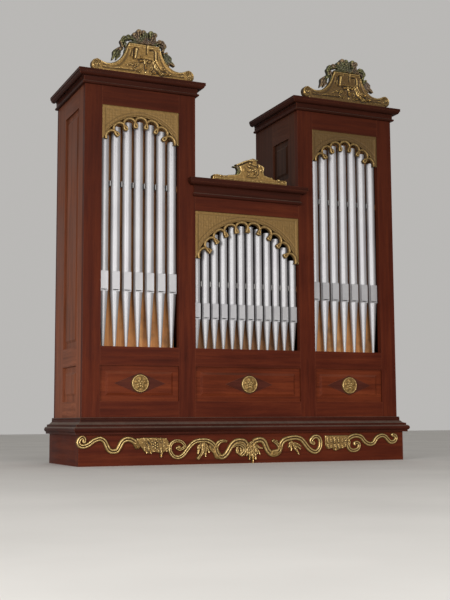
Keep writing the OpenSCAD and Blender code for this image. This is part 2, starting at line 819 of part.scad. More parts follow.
// Centre crest: low strip with scroll ends, and a waisted body with an ear on the left, a top that
// slopes up to the right and a drooping shoulder there. The points are shares of its length and height.
module centre_crest() {
    scroll_d = centre_crest_h * 0.18;
    scroll_z = crest_foot + scroll_d / 2;
    end_x = centre_crest_l / 2 - scroll_d / 2;
    shares = [
        [0.46, 0.235], [0.38, 0.245], [0.29, 0.29], [0.21, 0.35], [0.184, 0.49], [0.172, 0.69],
        [0.145, 0.82], [0.1, 0.86], [0.08, 0.945], [0.05, 1], [0, 0.955], [-0.07, 0.86], [-0.13, 0.765],
        [-0.18, 0.7], [-0.21, 0.6], [-0.168, 0.525], [-0.165, 0.405], [-0.21, 0.29], [-0.3, 0.245],
        [-0.38, 0.235], [-0.46, 0.235]
    ];
    top = curve([for (p = shares) [p[0] * centre_crest_l, p[1] * centre_crest_h]], 3);
    color(old_gold) translate([0, 0, centre_h]) relief(crest_back(centre_cornice_out), crest_t) {
        for (side = [-1, 1]) translate([side * end_x, scroll_z]) circle(scroll_d / 2);
        polygon(concat([[-end_x, 0], [end_x, 0], [end_x, scroll_z]], top, [[-end_x, scroll_z]]));
    }
}

// Points of a spiral about a middle, from one radius and angle to another
function spiral(c, r0, r1, a0, a1, n) = [
    for (i = [1 : n]) let (t = i / n, a = a0 + (a1 - a0) * t, r = r0 + (r1 - r0) * t) c + r * [cos(a), sin(a)]
];

// Outline of a band along a list of points, tapering from width w0 to width w1
function unit(v) = v / norm(v);
function side_of(p, i) = let (
    d = unit(p[min(i + 1, len(p) - 1)] - p[max(i - 1, 0)])
) [-d[1], d[0]];
module ribbon(p, w0, w1) {
    last = len(p) - 1;
    polygon(concat(
        [for (i = [0 : last]) p[i] + side_of(p, i) * (w0 + (w1 - w0) * i / last) / 2],
        [for (i = [last : -1 : 0]) p[i] - side_of(p, i) * (w0 + (w1 - w0) * i / last) / 2]
    ));
}

// Middle line of the apron's ribbon on each side, from the pendant out to the big volute, and from
// the bunch of leaves out to the end volute. The points are shares of the plinth's half width and of
// its height, in thousandths.
apron_steps = 6;
turns = 16;
apron_left_line = [
    [-46, 615], [-84, 710], [-132, 497], [-184, 249], [-240, 497], [-292, 716], [-350, 615], [-402, 343]
];
apron_left_eye = [-457, 509];
apron_left_tail = [[-699, 781], [-766, 811], [-800, 627], [-836, 473], [-870, 698], [-908, 828], [-950, 663]];
apron_left_knob = [-995, 734];
apron_left_bunch = [-606, 639];
apron_right_line = [
    [46, 639], [74, 734], [117, 533], [160, 320], [210, 568], [264, 775], [321, 710], [369, 450]
];
apron_right_eye = [423, 604];
apron_right_tail = [[634, 817], [715, 840], [755, 686], [791, 592], [829, 757], [864, 817], [900, 639]];
apron_right_knob = [950, 757];
apron_right_bunch = [560, 639];
function on_plinth(p) = [p[0] * half_w, p[1] * plinth_h] / 1000;

// One side of the apron: the waving ribbon, its volutes and a bunch of hanging leaves
module apron_side(line, eye, tail, knob, bunch) {
    bunch_l = plinth_h * 0.54;
    leaf_w = plinth_h * 0.25;
    turn_r = ribbon_w * 1.3;
    knob_r = ribbon_w * 0.87;
    start_angle = -90;
    end_angle = start_angle + sign(eye[0]) * 400;
    e = on_plinth(eye);
    k = on_plinth(knob);
    main = concat([for (p = line) on_plinth(p)], [e - [0, turn_r]]);
    outer = concat([for (p = tail) on_plinth(p)], [k - [0, knob_r]]);
    color(old_gold) relief(front_y - plinth_out, apron_t) {
        ribbon(concat(curve(main, apron_steps),
            spiral(e, turn_r, ribbon_w * 0.3, start_angle, end_angle, turns)),
            ribbon_w, ribbon_w * 0.45);
        ribbon(concat(curve(outer, apron_steps),
            spiral(k, knob_r, ribbon_w * 0.23, start_angle, end_angle, turns)),
            ribbon_w * 0.9, ribbon_w * 0.4);
        translate(on_plinth(bunch)) {
            circle(ribbon_w * 0.9);
            for (a = [-120 : 30 : 120]) rotate(a + 180) translate([0, ribbon_w * 0.4])
                leaf(bunch_l * (1 - abs(a) / 900) - ribbon_w * 0.4, leaf_w);
        }
    }
}

module apron_left() {
    apron_side(apron_left_line, apron_left_eye, apron_left_tail, apron_left_knob, apron_left_bunch);
}

module apron_right() {
    apron_side(apron_right_line, apron_right_eye, apron_right_tail, apron_right_knob, apron_right_bunch);
}

// Leaves that hang at the middle of the apron
module apron_pendant() {
    long = plinth_h * 0.76;
    color(old_gold) relief(front_y - plinth_out, apron_t * 1.375) {
        translate([0, apron_clear]) leaf(long, long * 0.31);
        for (side = [-1, 1]) translate([side * long * 0.02, apron_clear * 2.5]) rotate(-side * 24)
            leaf(long * 0.75, long * 0.235);
    }
}

plinth_front();
plinth_sides();
plinth_back();
base_moulding();
base_returns();
case_floor();
left_outer_stile();
left_inner_stile();
right_inner_stile();
right_outer_stile();
bottom_rails();
sill_rails();
frieze_rails();
left_lower_panel();
centre_lower_panel();
right_lower_panel();
rosettes();
left_shade();
centre_shade();
right_shade();
left_pipes();
centre_pipes();
right_pipes();
toe_boards();
inner_boards();
pipe_racks();
rack_hooks();
side_stiles();
side_rails();
side_panels();
back_stiles();
back_rails();
back_panels();
roofs();
left_cornice();
centre_cornice();
right_cornice();
cornice_returns();
left_crest();
centre_crest();
right_crest();
apron_left();
apron_right();
apron_pendant();
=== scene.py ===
# %% [markdown]
# # A small pipe organ in a mahogany case
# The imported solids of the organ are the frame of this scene. The case, the pipes and the boards are
# kept as they are and get real finishes. The gilt carving is modelled anew here, because carving is
# all soft slopes and rounded edges, which solids made of plain shapes can't show.

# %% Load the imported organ
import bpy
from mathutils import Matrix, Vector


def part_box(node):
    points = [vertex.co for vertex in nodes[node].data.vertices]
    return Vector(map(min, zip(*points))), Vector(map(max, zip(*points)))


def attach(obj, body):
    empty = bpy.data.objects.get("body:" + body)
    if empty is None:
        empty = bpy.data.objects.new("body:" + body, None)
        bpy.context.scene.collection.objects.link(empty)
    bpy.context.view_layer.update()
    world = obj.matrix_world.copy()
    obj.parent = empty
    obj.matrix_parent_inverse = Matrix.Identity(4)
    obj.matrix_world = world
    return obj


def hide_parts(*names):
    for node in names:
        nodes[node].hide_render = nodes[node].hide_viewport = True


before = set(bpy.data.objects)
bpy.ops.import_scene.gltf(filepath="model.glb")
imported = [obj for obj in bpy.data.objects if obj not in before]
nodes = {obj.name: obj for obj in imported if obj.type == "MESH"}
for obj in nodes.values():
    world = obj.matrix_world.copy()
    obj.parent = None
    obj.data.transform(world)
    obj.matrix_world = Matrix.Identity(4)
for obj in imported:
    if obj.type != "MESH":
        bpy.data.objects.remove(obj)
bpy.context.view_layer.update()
print("nodes:", len(nodes))

# %% Libraries and units
import math

import bpy
import numpy as np
from mathutils import Matrix, Vector

MM = 0.001
scene = bpy.context.scene
scene.view_settings.view_transform = "Standard"


# %% [markdown]
# ## Where things are
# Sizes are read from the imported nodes, so that a carving always lands in the place that the case
# keeps for it. Carving is drawn in millimetres, x to the right and z up, from a point on the case.

# %% Places on the case, in millimetres
def box_mm(node):
    low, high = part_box(node)
    return np.array(low) / MM, np.array(high) / MM


def middle_x(node):
    low, high = box_mm(node)
    return (low[0] + high[0]) / 2


FRONT = box_mm("left_outer_stile")[0][1]
PLINTH_FACE = box_mm("plinth_front")[0][1]
TOWER_X = middle_x("right_cornice")
print("front face at", round(FRONT, 1), "tower middle at", round(TOWER_X, 1))

# %% [markdown]
# ## The camera
# The photograph was taken from the left and from below, and slightly tilted. The place and the angles
# come from fitting the corners of the case to the picture, and the lens from the same fit.

# %% Camera of the photograph
YAW, PITCH, ROLL = 0.4166, 0.1134, -0.0048
ahead = Vector((math.sin(YAW) * math.cos(PITCH), math.cos(YAW) * math.cos(PITCH), math.sin(PITCH)))
level = Vector((math.cos(YAW), -math.sin(YAW), 0))
up = level.cross(ahead)
right = math.cos(ROLL) * level + math.sin(ROLL) * up
up = math.cos(ROLL) * up - math.sin(ROLL) * level

camera = bpy.data.objects.new("camera", bpy.data.cameras.new("camera"))
scene.collection.objects.link(camera)
camera.matrix_world = Matrix((right, up, -ahead)).transposed().to_4x4()
camera.location = (-2.6104, -5.8213, 0.2436)
camera.data.lens = 63.4
camera.data.sensor_width = 36
camera.data.clip_end = 60
scene.camera = camera
print("camera", [round(v, 3) for v in camera.location])

# %% [markdown]
# ## Nodes for the finishes
# Every finish is a small network of nodes. One helper adds a node, sets its values and joins it to
# the nodes before it, which keeps each finish readable from top to bottom. Another turns the real
# size of a pattern, such as the width of a pore, into the scale that a noise wants.

# %% Helpers for colours, scales and nodes
def linear(code):
    """Turns an sRGB hex colour into the linear colour that a shader works with."""
    parts = [int(code[i:i + 2], 16) / 255 for i in (1, 3, 5)]
    return [c / 12.92 if c <= 0.04045 else ((c + 0.055) / 1.055) ** 2.4 for c in parts] + [1]


def scale_of(size):
    """Scale of a pattern whose cells are this many millimetres wide, rounded to two digits."""
    return float(f"{1 / (size * MM):.2g}")


def grain_scale(wide, long, axis):
    """Scales of a pattern that is stretched along one axis (0, 1 or 2)."""
    scales = [scale_of(wide)] * 3
    scales[axis] = scale_of(long)
    return scales


def add(tree, kind, settings=None, links=None):
    """Adds a node. A setting is an attribute of the node, or else the value of the socket of that
    name or number; that of a colour ramp is a list of places and colours. A link joins a socket to
    the output that it is given."""
    made = tree.nodes.new("ShaderNode" + kind)
    for key, value in (settings or {}).items():
        if key == "color_ramp":
            while len(made.color_ramp.elements) < len(value):
                made.color_ramp.elements.new(1)
            for element, (place, code) in zip(made.color_ramp.elements, value):
                element.position, element.color = place, linear(code)
        elif isinstance(key, str) and hasattr(made, key):
            setattr(made, key, value)
        else:
            made.inputs[key].default_value = value
    for key, output in (links or {}).items():
        tree.links.new(output, made.inputs[key])
    return made


def new_finish(name):
    finish = bpy.data.materials.new(name)
    finish.use_nodes = True
    finish.node_tree.nodes.clear()
    return finish, finish.node_tree


# Numbers of the sockets of a Mix node that mixes colours
MIX_A, MIX_B, MIX_OUT = 6, 7, 2
print("a pattern of 3 mm has the scale", scale_of(3))

# %% [markdown]
# ## Polished mahogany
# The case is mahogany, stained dark, planed and then polished with shellac that has gone satin with
# age. The eye sees long soft streaks along each board, some redder and some nearly black, a thin
# clear coat over them, rubbed edges with a painted highlight, dust with a painted sheen wherever a
# surface looks up, and painted shade towards the top of the case.
# Pictures of wood would have to be laid on each board and would repeat; noises that are measured in
# millimetres of the case itself don't. The grain has to follow each board, so the same network is
# made once for every direction.

# %% Grain of the mahogany
TONE_PLACES = (0.26, 0.48, 0.6, 0.8)


def wood_grain(tree, place, along, tones, other):
    """Colour of the planed wood, and the noises of its pores and clouds. Other is a second set of tones
    with the axis and the two places, in metres, over which it takes the place of the first."""
    # Streaks 29 mm wide and 0.6 m long; the real ones are finer, but wouldn't show
    streak_place = add(tree, "Mapping", {"Scale": grain_scale(29, 625, along)}, {"Vector": place})
    streaks = add(tree, "TexNoise", {"Scale": 1.0, "Detail": 5.0, "Roughness": 0.62, "Distortion": 0.35},
                  {"Vector": streak_place.outputs[0]})
    # Pores 3 mm wide and 62 mm long
    pore_place = add(tree, "Mapping", {"Scale": grain_scale(3, 62, along)}, {"Vector": place})
    pores = add(tree, "TexNoise", {"Scale": 1.0, "Detail": 2.0, "Roughness": 0.5},
                {"Vector": pore_place.outputs[0]})
    # Clouds 0.4 m wide, where the polish has faded or darkened
    clouds = add(tree, "TexNoise", {"Scale": scale_of(420), "Detail": 3.0, "Roughness": 0.55},
                 {"Vector": place})
    of_streaks = add(tree, "Math", {"operation": "MULTIPLY", 1: 0.72}, {0: streaks.outputs["Fac"]})
    tone = add(tree, "Math", {"operation": "MULTIPLY_ADD", 1: 0.35},
               {0: clouds.outputs["Fac"], 2: of_streaks.outputs[0]})
    wood = add(tree, "ValToRGB", {"color_ramp": list(zip(TONE_PLACES, tones))},
               {"Fac": tone.outputs[0]}).outputs["Color"]
    if other:
        second, axis, start, end = other
        apart = add(tree, "SeparateXYZ", links={"Vector": place})
        share = add(tree, "MapRange", {"From Min": start, "From Max": end}, {"Value": apart.outputs[axis]})
        second = add(tree, "ValToRGB", {"color_ramp": list(zip(TONE_PLACES, second))},
                     {"Fac": tone.outputs[0]})
        wood = add(tree, "Mix", {"data_type": "RGBA"},
                   {0: share.outputs[0], MIX_A: wood, MIX_B: second.outputs["Color"]}).outputs[MIX_OUT]
    return wood, pores, clouds


# %% [markdown]
# Age and painted light are laid over the grain in this order: painted shade that darkens the polish
# towards the top of the case, dirt in the pores, edges rubbed thin and pale with a painted highlight
# along them, and dust with a painted grey sheen on whatever looks up. Each is a share from 0 to 1 and
# a colour. An edge is found by comparing a rounded normal with the flat one.

# %% Age and painted light on the mahogany
# Colours of the painted shade at the top, the rubbed edges with their painted highlight, and the dust with
# its painted sheen
TOP_SHADE, RUBBED_EDGE_AND_HIGHLIGHT, DUST_AND_SHEEN = "#2b150d", "#8a5038", "#83786c"


def aged(tree, place, wood, pores, dirt, dust_and_sheen):
    """Lays the traces of age and painted light over a wood, and gives its colour and its share of dust and
    sheen.
    """
    apart = add(tree, "SeparateXYZ", links={"Vector": place})
    # Painted shade: the wood is darkened towards the top of the case
    painted_top_shade = add(tree, "MapRange", {"From Min": 0.4, "From Max": 2.1, "To Max": 0.5},
                 {"Value": apart.outputs["Z"]})
    dirty = add(tree, "MapRange", {"From Min": 0.56, "From Max": 0.7, "To Max": 0.35},
                {"Value": pores.outputs["Fac"]})
    rounded = add(tree, "Bevel", {"samples": 4, "Radius": 3.5 * MM})
    face = add(tree, "NewGeometry")
    alike = add(tree, "VectorMath", {"operation": "DOT_PRODUCT"},
                {0: rounded.outputs[0], 1: face.outputs["Normal"]})
    edge = add(tree, "MapRange", {"From Min": 0.998, "From Max": 0.86, "To Max": 0.5},
               {"Value": alike.outputs["Value"]})
    # Wear with its painted highlight, and dust with its painted sheen, come in patches 36 mm wide
    patches = add(tree, "TexNoise", {"Scale": scale_of(36), "Detail": 3.0}, {"Vector": place})
    worn_and_highlit = add(tree, "Math", {"operation": "MULTIPLY"}, {0: edge.outputs[0], 1: patches.outputs["Fac"]})
    split = add(tree, "SeparateXYZ", links={"Vector": face.outputs["Normal"]})
    # Dust and painted sheen: faces that look up are mixed towards a pale grey
    looks_up = add(tree, "MapRange", {"From Min": 0.35, "From Max": 0.95, "To Max": dust_and_sheen},
                   {"Value": split.outputs["Z"]})
    motes = add(tree, "MapRange", {"From Min": 0.25, "From Max": 0.75, "To Min": 0.65},
                {"Value": patches.outputs["Fac"]})
    dust_and_sheen_share = add(tree, "Math", {"operation": "MULTIPLY"}, {0: looks_up.outputs[0], 1: motes.outputs[0]})
    for share, colour in ((painted_top_shade, TOP_SHADE), (dirty, dirt), (worn_and_highlit, RUBBED_EDGE_AND_HIGHLIGHT), (dust_and_sheen_share, DUST_AND_SHEEN)):
        wood = add(tree, "Mix", {"data_type": "RGBA", MIX_B: linear(colour)},
                   {0: share.outputs[0], MIX_A: wood}).outputs[MIX_OUT]
    return wood, dust_and_sheen_share.outputs[0]


# %% Mahogany
def mahogany(name, along, tones, dust_and_sheen=0.5, gloss=0.42, other=None):
    """Polished mahogany whose grain runs along one axis (0, 1 or 2). Dust and sheen is the most dust and
    painted sheen that lies on what looks up, and gloss the roughness of the clean polish; a lower one is
    shinier."""
    finish, tree = new_finish(name)
    place = add(tree, "TexCoord").outputs["Object"]
    wood, pores, clouds = wood_grain(tree, place, along, tones, other)
    wood, dust_and_sheen_share = aged(tree, place, wood, pores, tones[0], dust_and_sheen)
    rough = add(tree, "MapRange",
                {"From Min": 0.3, "From Max": 0.7, "To Min": gloss - 0.07, "To Max": gloss + 0.12},
                {"Value": clouds.outputs["Fac"]})
    rough = add(tree, "Math", {"operation": "MAXIMUM"}, {0: rough.outputs[0], 1: dust_and_sheen_share})
    bump = add(tree, "Bump", {"Strength": 0.25, "Distance": 0.4 * MM}, {"Height": pores.outputs["Fac"]})
    # Old shellac under wax and soot mirrors far less than a new coat
    shader = add(tree, "BsdfPrincipled", {"IOR": 1.5, "Specular IOR Level": 0.04},
                 {"Base Color": wood, "Roughness": rough.outputs[0], "Normal": bump.outputs[0]})
    add(tree, "OutputMaterial", links={"Surface": shader.outputs[0]})
    return finish


# %% Finishes of the case
CASE_TONES = ("#2e1109", "#4c1e12", "#582515", "#6a311d")
PANEL_TONES = ("#37160c", "#5a2615", "#682e19", "#793b21")
DARK_TONES = ("#1b0c08", "#33160f", "#401b12", "#50261a")
INNER_PANEL_TONES = ("#26180f", "#3d271c", "#493022", "#563c2d")
INNER_TONES = ("#2e1a12", "#4c2b1d", "#593425", "#6a422f")
LOZENGE_TONES = ("#29120c", "#442018", "#50271d", "#60321f")
LIT_SIDE_TONES = ("#4c2b1d", "#76432d", "#884f37", "#a06246")
# Painted light: the left side of the case, and what lies within 80 mm of it, faces the light and is painted
# lighter
left_face = box_mm("left_outer_stile")[0][0] * MM
PAINTED_SIDE_LIGHT = (LIT_SIDE_TONES, "X", left_face + 120 * MM, left_face + 80 * MM)
# A lozenge of darker veneer stands in front of the field of each lower panel
lozenge_face = box_mm("left_lower_panel")[0][1] * MM
LOZENGE = (LOZENGE_TONES, "Y", lozenge_face + 2.5 * MM, lozenge_face + 1.5 * MM)

case_up = mahogany("mahogany_upright", 2, CASE_TONES)
case_across = mahogany("mahogany_across", 0, CASE_TONES)
# The side pieces are painted lighter near the left side, as painted light
side_up = mahogany("mahogany_side", 2, INNER_TONES, other=PAINTED_SIDE_LIGHT)
side_deep = mahogany("mahogany_side_rail", 1, INNER_TONES, other=PAINTED_SIDE_LIGHT)
side_panel = mahogany("mahogany_side_panel", 2, INNER_PANEL_TONES, other=PAINTED_SIDE_LIGHT)
plinth_deep = mahogany("mahogany_plinth_side", 1, CASE_TONES)
panel_across = mahogany("mahogany_lower_panel", 0, PANEL_TONES, 0.35, 0.38, LOZENGE)
mould_across = mahogany("mahogany_moulding", 0, DARK_TONES, gloss=0.36)
mould_deep = mahogany("mahogany_side_moulding", 1, DARK_TONES, 0.75, 0.36)
print("mahogany finishes:", sum(m.name.startswith("mahogany") for m in bpy.data.materials))

# %% [markdown]
# ## Bare boards
# Behind the pipes the boards were never stained: planed pine, gone orange-brown, dry and dull, with
# wide grain and some dark smears. It is rough, and it has no coat. The grain is made as that of the
# mahogany, but bent more, because pine grows with more knots.

# %% Bare pine
def bare_pine(name, along):
    finish, tree = new_finish(name)
    place = add(tree, "TexCoord").outputs["Object"]
    # Grain 29 mm wide and 0.45 m long
    grain_place = add(tree, "Mapping", {"Scale": grain_scale(29, 450, along)}, {"Vector": place})
    grain = add(tree, "TexNoise", {"Scale": 1.0, "Detail": 6.0, "Roughness": 0.6, "Distortion": 0.8},
                {"Vector": grain_place.outputs[0]})
    wood = add(tree, "ValToRGB",
               {"color_ramp": [(0.3, "#8a5a34"), (0.45, "#b67a45"), (0.56, "#c68a51"), (0.72, "#d8a872")]},
               {"Fac": grain.outputs["Fac"]}).outputs["Color"]
    # Smears as long as a hand is wide
    smear = add(tree, "TexNoise", {"Scale": scale_of(111), "Detail": 4.0}, {"Vector": place})
    dirty = add(tree, "MapRange", {"From Min": 0.52, "From Max": 0.74, "To Max": 0.6},
                {"Value": smear.outputs["Fac"]})
    # Painted shade: the boards of the centre, 0.64 m wide, are painted greyer and darker than those of the
    # towers
    apart = add(tree, "SeparateXYZ", links={"Vector": place})
    off_middle = add(tree, "Math", {"operation": "ABSOLUTE"}, {0: apart.outputs["X"]})
    painted_centre_shade = add(tree, "MapRange", {"From Min": 0.36, "From Max": 0.32, "To Max": 0.5},
                 {"Value": off_middle.outputs[0]})
    for share, colour in ((dirty, "#3d2f25"), (painted_centre_shade, "#3f332a")):
        wood = add(tree, "Mix", {"data_type": "RGBA", MIX_B: linear(colour)},
                   {0: share.outputs[0], MIX_A: wood}).outputs[MIX_OUT]
    bump = add(tree, "Bump", {"Strength": 0.5, "Distance": 0.5 * MM}, {"Height": grain.outputs["Fac"]})
    shader = add(tree, "BsdfPrincipled", {"IOR": 1.45, "Roughness": 0.72},
                 {"Base Color": wood, "Normal": bump.outputs[0]})
    add(tree, "OutputMaterial", links={"Surface": shader.outputs[0]})
    return finish


pine_up = bare_pine("planed_pine_upright", 2)
pine_across = bare_pine("planed_pine_across", 0)
print("pine:", pine_up.name, pine_across.name)

# %% [markdown]
# ## Pipe metal
# Front pipes are rolled from sheet of tin and lead, planed and then burnished along the pipe. That
# gives a grey metal with soft streaks along its length, bright down one side and dark at the edges,
# slightly dull where breath and dust have got to it. A thin grey skin of oxide takes part of the
# mirror away, so it isn't quite a metal any more.

# %% Burnished tin
def burnished_tin(name, tones):
    finish, tree = new_finish(name)
    place = add(tree, "TexCoord").outputs["Object"]
    # Burnishing marks 4 mm wide and half a metre long, and dull clouds of 0.2 m
    marks_place = add(tree, "Mapping", {"Scale": grain_scale(4.2, 500, 2)}, {"Vector": place})
    marks = add(tree, "TexNoise", {"Scale": 1.0, "Detail": 3.0, "Roughness": 0.5},
                {"Vector": marks_place.outputs[0]})
    breath = add(tree, "TexNoise", {"Scale": scale_of(200), "Detail": 2.0, "Roughness": 0.5},
                 {"Vector": place})
    metal = add(tree, "ValToRGB", {"color_ramp": list(zip((0.3, 0.7), tones))},
                {"Fac": breath.outputs["Fac"]})
    both = add(tree, "Math", {"operation": "ADD"}, {0: marks.outputs["Fac"], 1: breath.outputs["Fac"]})
    rough = add(tree, "MapRange", {"From Min": 0.7, "From Max": 1.3, "To Min": 0.46, "To Max": 0.52},
                {"Value": both.outputs[0]})
    bump = add(tree, "Bump", {"Strength": 0.12, "Distance": 0.2 * MM}, {"Height": marks.outputs["Fac"]})
    shader = add(tree, "BsdfPrincipled", {"Metallic": 0.6},
                 {"Base Color": metal.outputs["Color"], "Roughness": rough.outputs[0],
                  "Normal": bump.outputs[0]})
    add(tree, "OutputMaterial", links={"Surface": shader.outputs[0]})
    return finish


tin = burnished_tin("burnished_tin", ("#a8a6a8", "#b4b3b4"))
dull_tin = burnished_tin("tarnished_tin", ("#7d7a78", "#8b8886"))
print("pipe metal:", tin.name, dull_tin.name)

# %% [markdown]
# ## Old gilding
# The carving is limewood under chalk ground, red clay and gold leaf, rubbed and dirty after a long
# life. High places are painted pale as a highlight on bright metal, slopes are olive and dull, and the
# hollows are painted dark brown, partly dirt that is no metal at all and partly painted shade. Painting
# this by hand would take days, and a render's own shading of hollows would follow only the sharpest of
# them. Here the relief of each carving is kept as an attribute of its mesh, called carved, from 0 in a
# hollow to 1 on a ridge, and the finish reads it.

# %% Worn gold leaf and painted leaves
def old_gilding(name, hollow, slope, ridge, shine, glaze=None):
    """Gilding, or a glaze over gilding, that is painted dark where the carving is deep, as dirt and painted
    shade, and pale on its ridges as a painted highlight. Shine is how metallic its ridges are, and glaze
    the ramp of a second glaze in patches as wide as a leaf."""
    finish, tree = new_finish(name)
    place = add(tree, "TexCoord").outputs["Object"]
    carved = add(tree, "Attribute", {"attribute_name": "carved"})
    # Wear in patches 12 mm wide
    patches = add(tree, "TexNoise", {"Scale": scale_of(11.8), "Detail": 5.0, "Roughness": 0.6},
                  {"Vector": place})
    shift = add(tree, "MapRange", {"From Min": 0.25, "From Max": 0.75, "To Min": -0.09, "To Max": 0.09},
                {"Value": patches.outputs["Fac"]})
    height = add(tree, "Math", {"operation": "ADD", "use_clamp": True},
                 {0: carved.outputs["Fac"], 1: shift.outputs[0]}).outputs[0]
    # Painted light: the colour follows the relief, dark in hollows as dirt and painted shade, pale on
    # ridges as a painted highlight
    stops = [(0.12, hollow), (0.42, slope), (0.6, slope), (0.9, ridge)]
    colour = add(tree, "ValToRGB", {"color_ramp": stops}, {"Fac": height}).outputs["Color"]
    if glaze:
        # Leaves are 62 mm wide
        areas = add(tree, "TexNoise", {"Scale": scale_of(62), "Detail": 1.0}, {"Vector": place})
        covered = add(tree, "MapRange", {"From Min": 0.46, "From Max": 0.54, "To Max": 0.8},
                      {"Value": areas.outputs["Fac"]})
        # The glaze follows the relief too, with painted shade in hollows and a painted highlight on ridges
        second = add(tree, "ValToRGB", {"color_ramp": glaze}, {"Fac": height})
        both = add(tree, "Mix", {"data_type": "RGBA"},
                   {0: covered.outputs[0], MIX_A: colour, MIX_B: second.outputs["Color"]})
        colour = both.outputs[MIX_OUT]
    metallic = add(tree, "MapRange", {"From Min": 0.15, "From Max": 0.5, "To Min": 0.1, "To Max": shine},
                   {"Value": height})
    rough = add(tree, "MapRange", {"From Min": 0.1, "From Max": 0.9, "To Min": 0.7, "To Max": 0.34},
                {"Value": height})
    # Brush marks in the chalk ground, 3 mm apart
    ground = add(tree, "TexNoise", {"Scale": scale_of(3), "Detail": 2.0}, {"Vector": place})
    bump = add(tree, "Bump", {"Strength": 0.35, "Distance": 0.4 * MM}, {"Height": ground.outputs["Fac"]})
    shader = add(tree, "BsdfPrincipled", {},
                 {"Base Color": colour, "Metallic": metallic.outputs[0], "Roughness": rough.outputs[0],
                  "Normal": bump.outputs[0]})
    add(tree, "OutputMaterial", links={"Surface": shader.outputs[0]})
    return finish


gold = old_gilding("worn_gold_leaf", "#33230f", "#876a3c", "#d6b87c", 0.85)
# Painted shade: a darker copy of the gold for the right tower, where less light falls
shaded_gold = old_gilding("shaded_gold_leaf", "#241808", "#624b2b", "#cfae6c", 0.8)
matt_gold = old_gilding("matt_gold_leaf", "#33230f", "#7a5f36", "#c6a972", 0.8)
BROWN_GLAZE = [(0.12, "#170f0a"), (0.5, "#422c1d"), (0.9, "#8c7050")]
painted_leaf = old_gilding("glazed_leaf_paint", "#12110a", "#363419", "#7d7a4a", 0.1, BROWN_GLAZE)
print("gilding:", gold.name, shaded_gold.name, matt_gold.name, painted_leaf.name)

# %% [markdown]
# ## Finishes on the case
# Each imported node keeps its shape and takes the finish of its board.

# %% Give the case its finishes
FINISHES = {
    case_up: "left_outer_stile left_inner_stile right_inner_stile right_outer_stile "
             "back_stiles back_panels",
    case_across: "bottom_rails sill_rails frieze_rails back_rails roofs plinth_front plinth_back",
    side_up: "side_stiles",
    side_panel: "side_panels",
    side_deep: "side_rails",
    plinth_deep: "plinth_sides",
    panel_across: "left_lower_panel centre_lower_panel right_lower_panel",
    mould_across: "base_moulding left_cornice centre_cornice right_cornice",
    mould_deep: "base_returns cornice_returns",
    pine_up: "inner_boards",
    pine_across: "toe_boards pipe_racks case_floor",
    tin: "left_pipes centre_pipes right_pipes",
    dull_tin: "rack_hooks",
    gold: "rosettes left_shade centre_shade right_shade left_crest centre_crest right_crest "
          "apron_left apron_right apron_pendant",
}
for finish, names in FINISHES.items():
    for name in names.split():
        nodes[name].data.materials.clear()
        nodes[name].data.materials.append(finish)
print("finished nodes:", sum(len(names.split()) for names in FINISHES.values()))

# %% [markdown]
# ## Floor, air and light
# The organ stands on a plain pale floor in plain soft light: one large lamp from the left, where the
# photograph is brighter, a slightly weaker one in front, and an even sky. The camera sees the sky as
# a light grey, a little brighter than it lights the case, and so do mirrors.

# %% Floor
def pale_floor():
    finish, tree = new_finish("limewashed_floor")
    place = add(tree, "TexCoord").outputs["Object"]
    # Limewash dries in clouds 0.8 m wide
    clouds = add(tree, "TexNoise", {"Scale": scale_of(770), "Detail": 4.0}, {"Vector": place})
    colour = add(tree, "ValToRGB", {"color_ramp": [(0.3, "#d3d0cb"), (0.7, "#dedbd6")]},
                 {"Fac": clouds.outputs["Fac"]})
    shader = add(tree, "BsdfPrincipled", {"Roughness": 0.8}, {"Base Color": colour.outputs["Color"]})
    add(tree, "OutputMaterial", links={"Surface": shader.outputs[0]})
    return finish


HALF_FLOOR = 14.0
floor_mesh = bpy.data.meshes.new("floor")
floor_mesh.from_pydata([(-HALF_FLOOR, -HALF_FLOOR, 0), (HALF_FLOOR, -HALF_FLOOR, 0),
                        (HALF_FLOOR, HALF_FLOOR, 0), (-HALF_FLOOR, HALF_FLOOR, 0)], [], [(0, 1, 2, 3)])
floor_mesh.materials.append(pale_floor())
floor = bpy.data.objects.new("floor", floor_mesh)
scene.collection.objects.link(floor)

# %% Sky and lamps
world = bpy.data.worlds.new("sky")
scene.world = world
world.use_nodes = True
world.node_tree.nodes.clear()
rays = add(world.node_tree, "LightPath")
seen = add(world.node_tree, "Math", {"operation": "MAXIMUM"},
           {0: rays.outputs["Is Camera Ray"], 1: rays.outputs["Is Glossy Ray"]})
seen = add(world.node_tree, "Math", {"operation": "MAXIMUM"},
           {0: seen.outputs[0], 1: rays.outputs["Is Transmission Ray"]})
SKY_LIGHT, SKY_SEEN = 0.46, 0.6
strength = add(world.node_tree, "MapRange", {"To Min": SKY_LIGHT, "To Max": SKY_SEEN},
               {"Value": seen.outputs[0]})
sky = add(world.node_tree, "Background", {"Color": linear("#e9e7e4")}, {"Strength": strength.outputs[0]})
add(world.node_tree, "OutputWorld", links={"Surface": sky.outputs[0]})


def soft_lamp(name, place, aim, size, power):
    data = bpy.data.lights.new(name, "AREA")
    data.energy = power
    data.shape = "RECTANGLE"
    data.size, data.size_y = size
    lamp = bpy.data.objects.new(name, data)
    lamp.location = place
    lamp.rotation_euler = (Vector(aim) - Vector(place)).to_track_quat("-Z", "Y").to_euler()
    scene.collection.objects.link(lamp)


soft_lamp("key_from_left", (-6.6, -5.6, 1.7), (0, 0, 0.8), (3.4, 2.4), 320)
soft_lamp("fill_in_front", (-0.4, -8.6, 1.9), (0, 0, 0.9), (3.8, 2.4), 290)

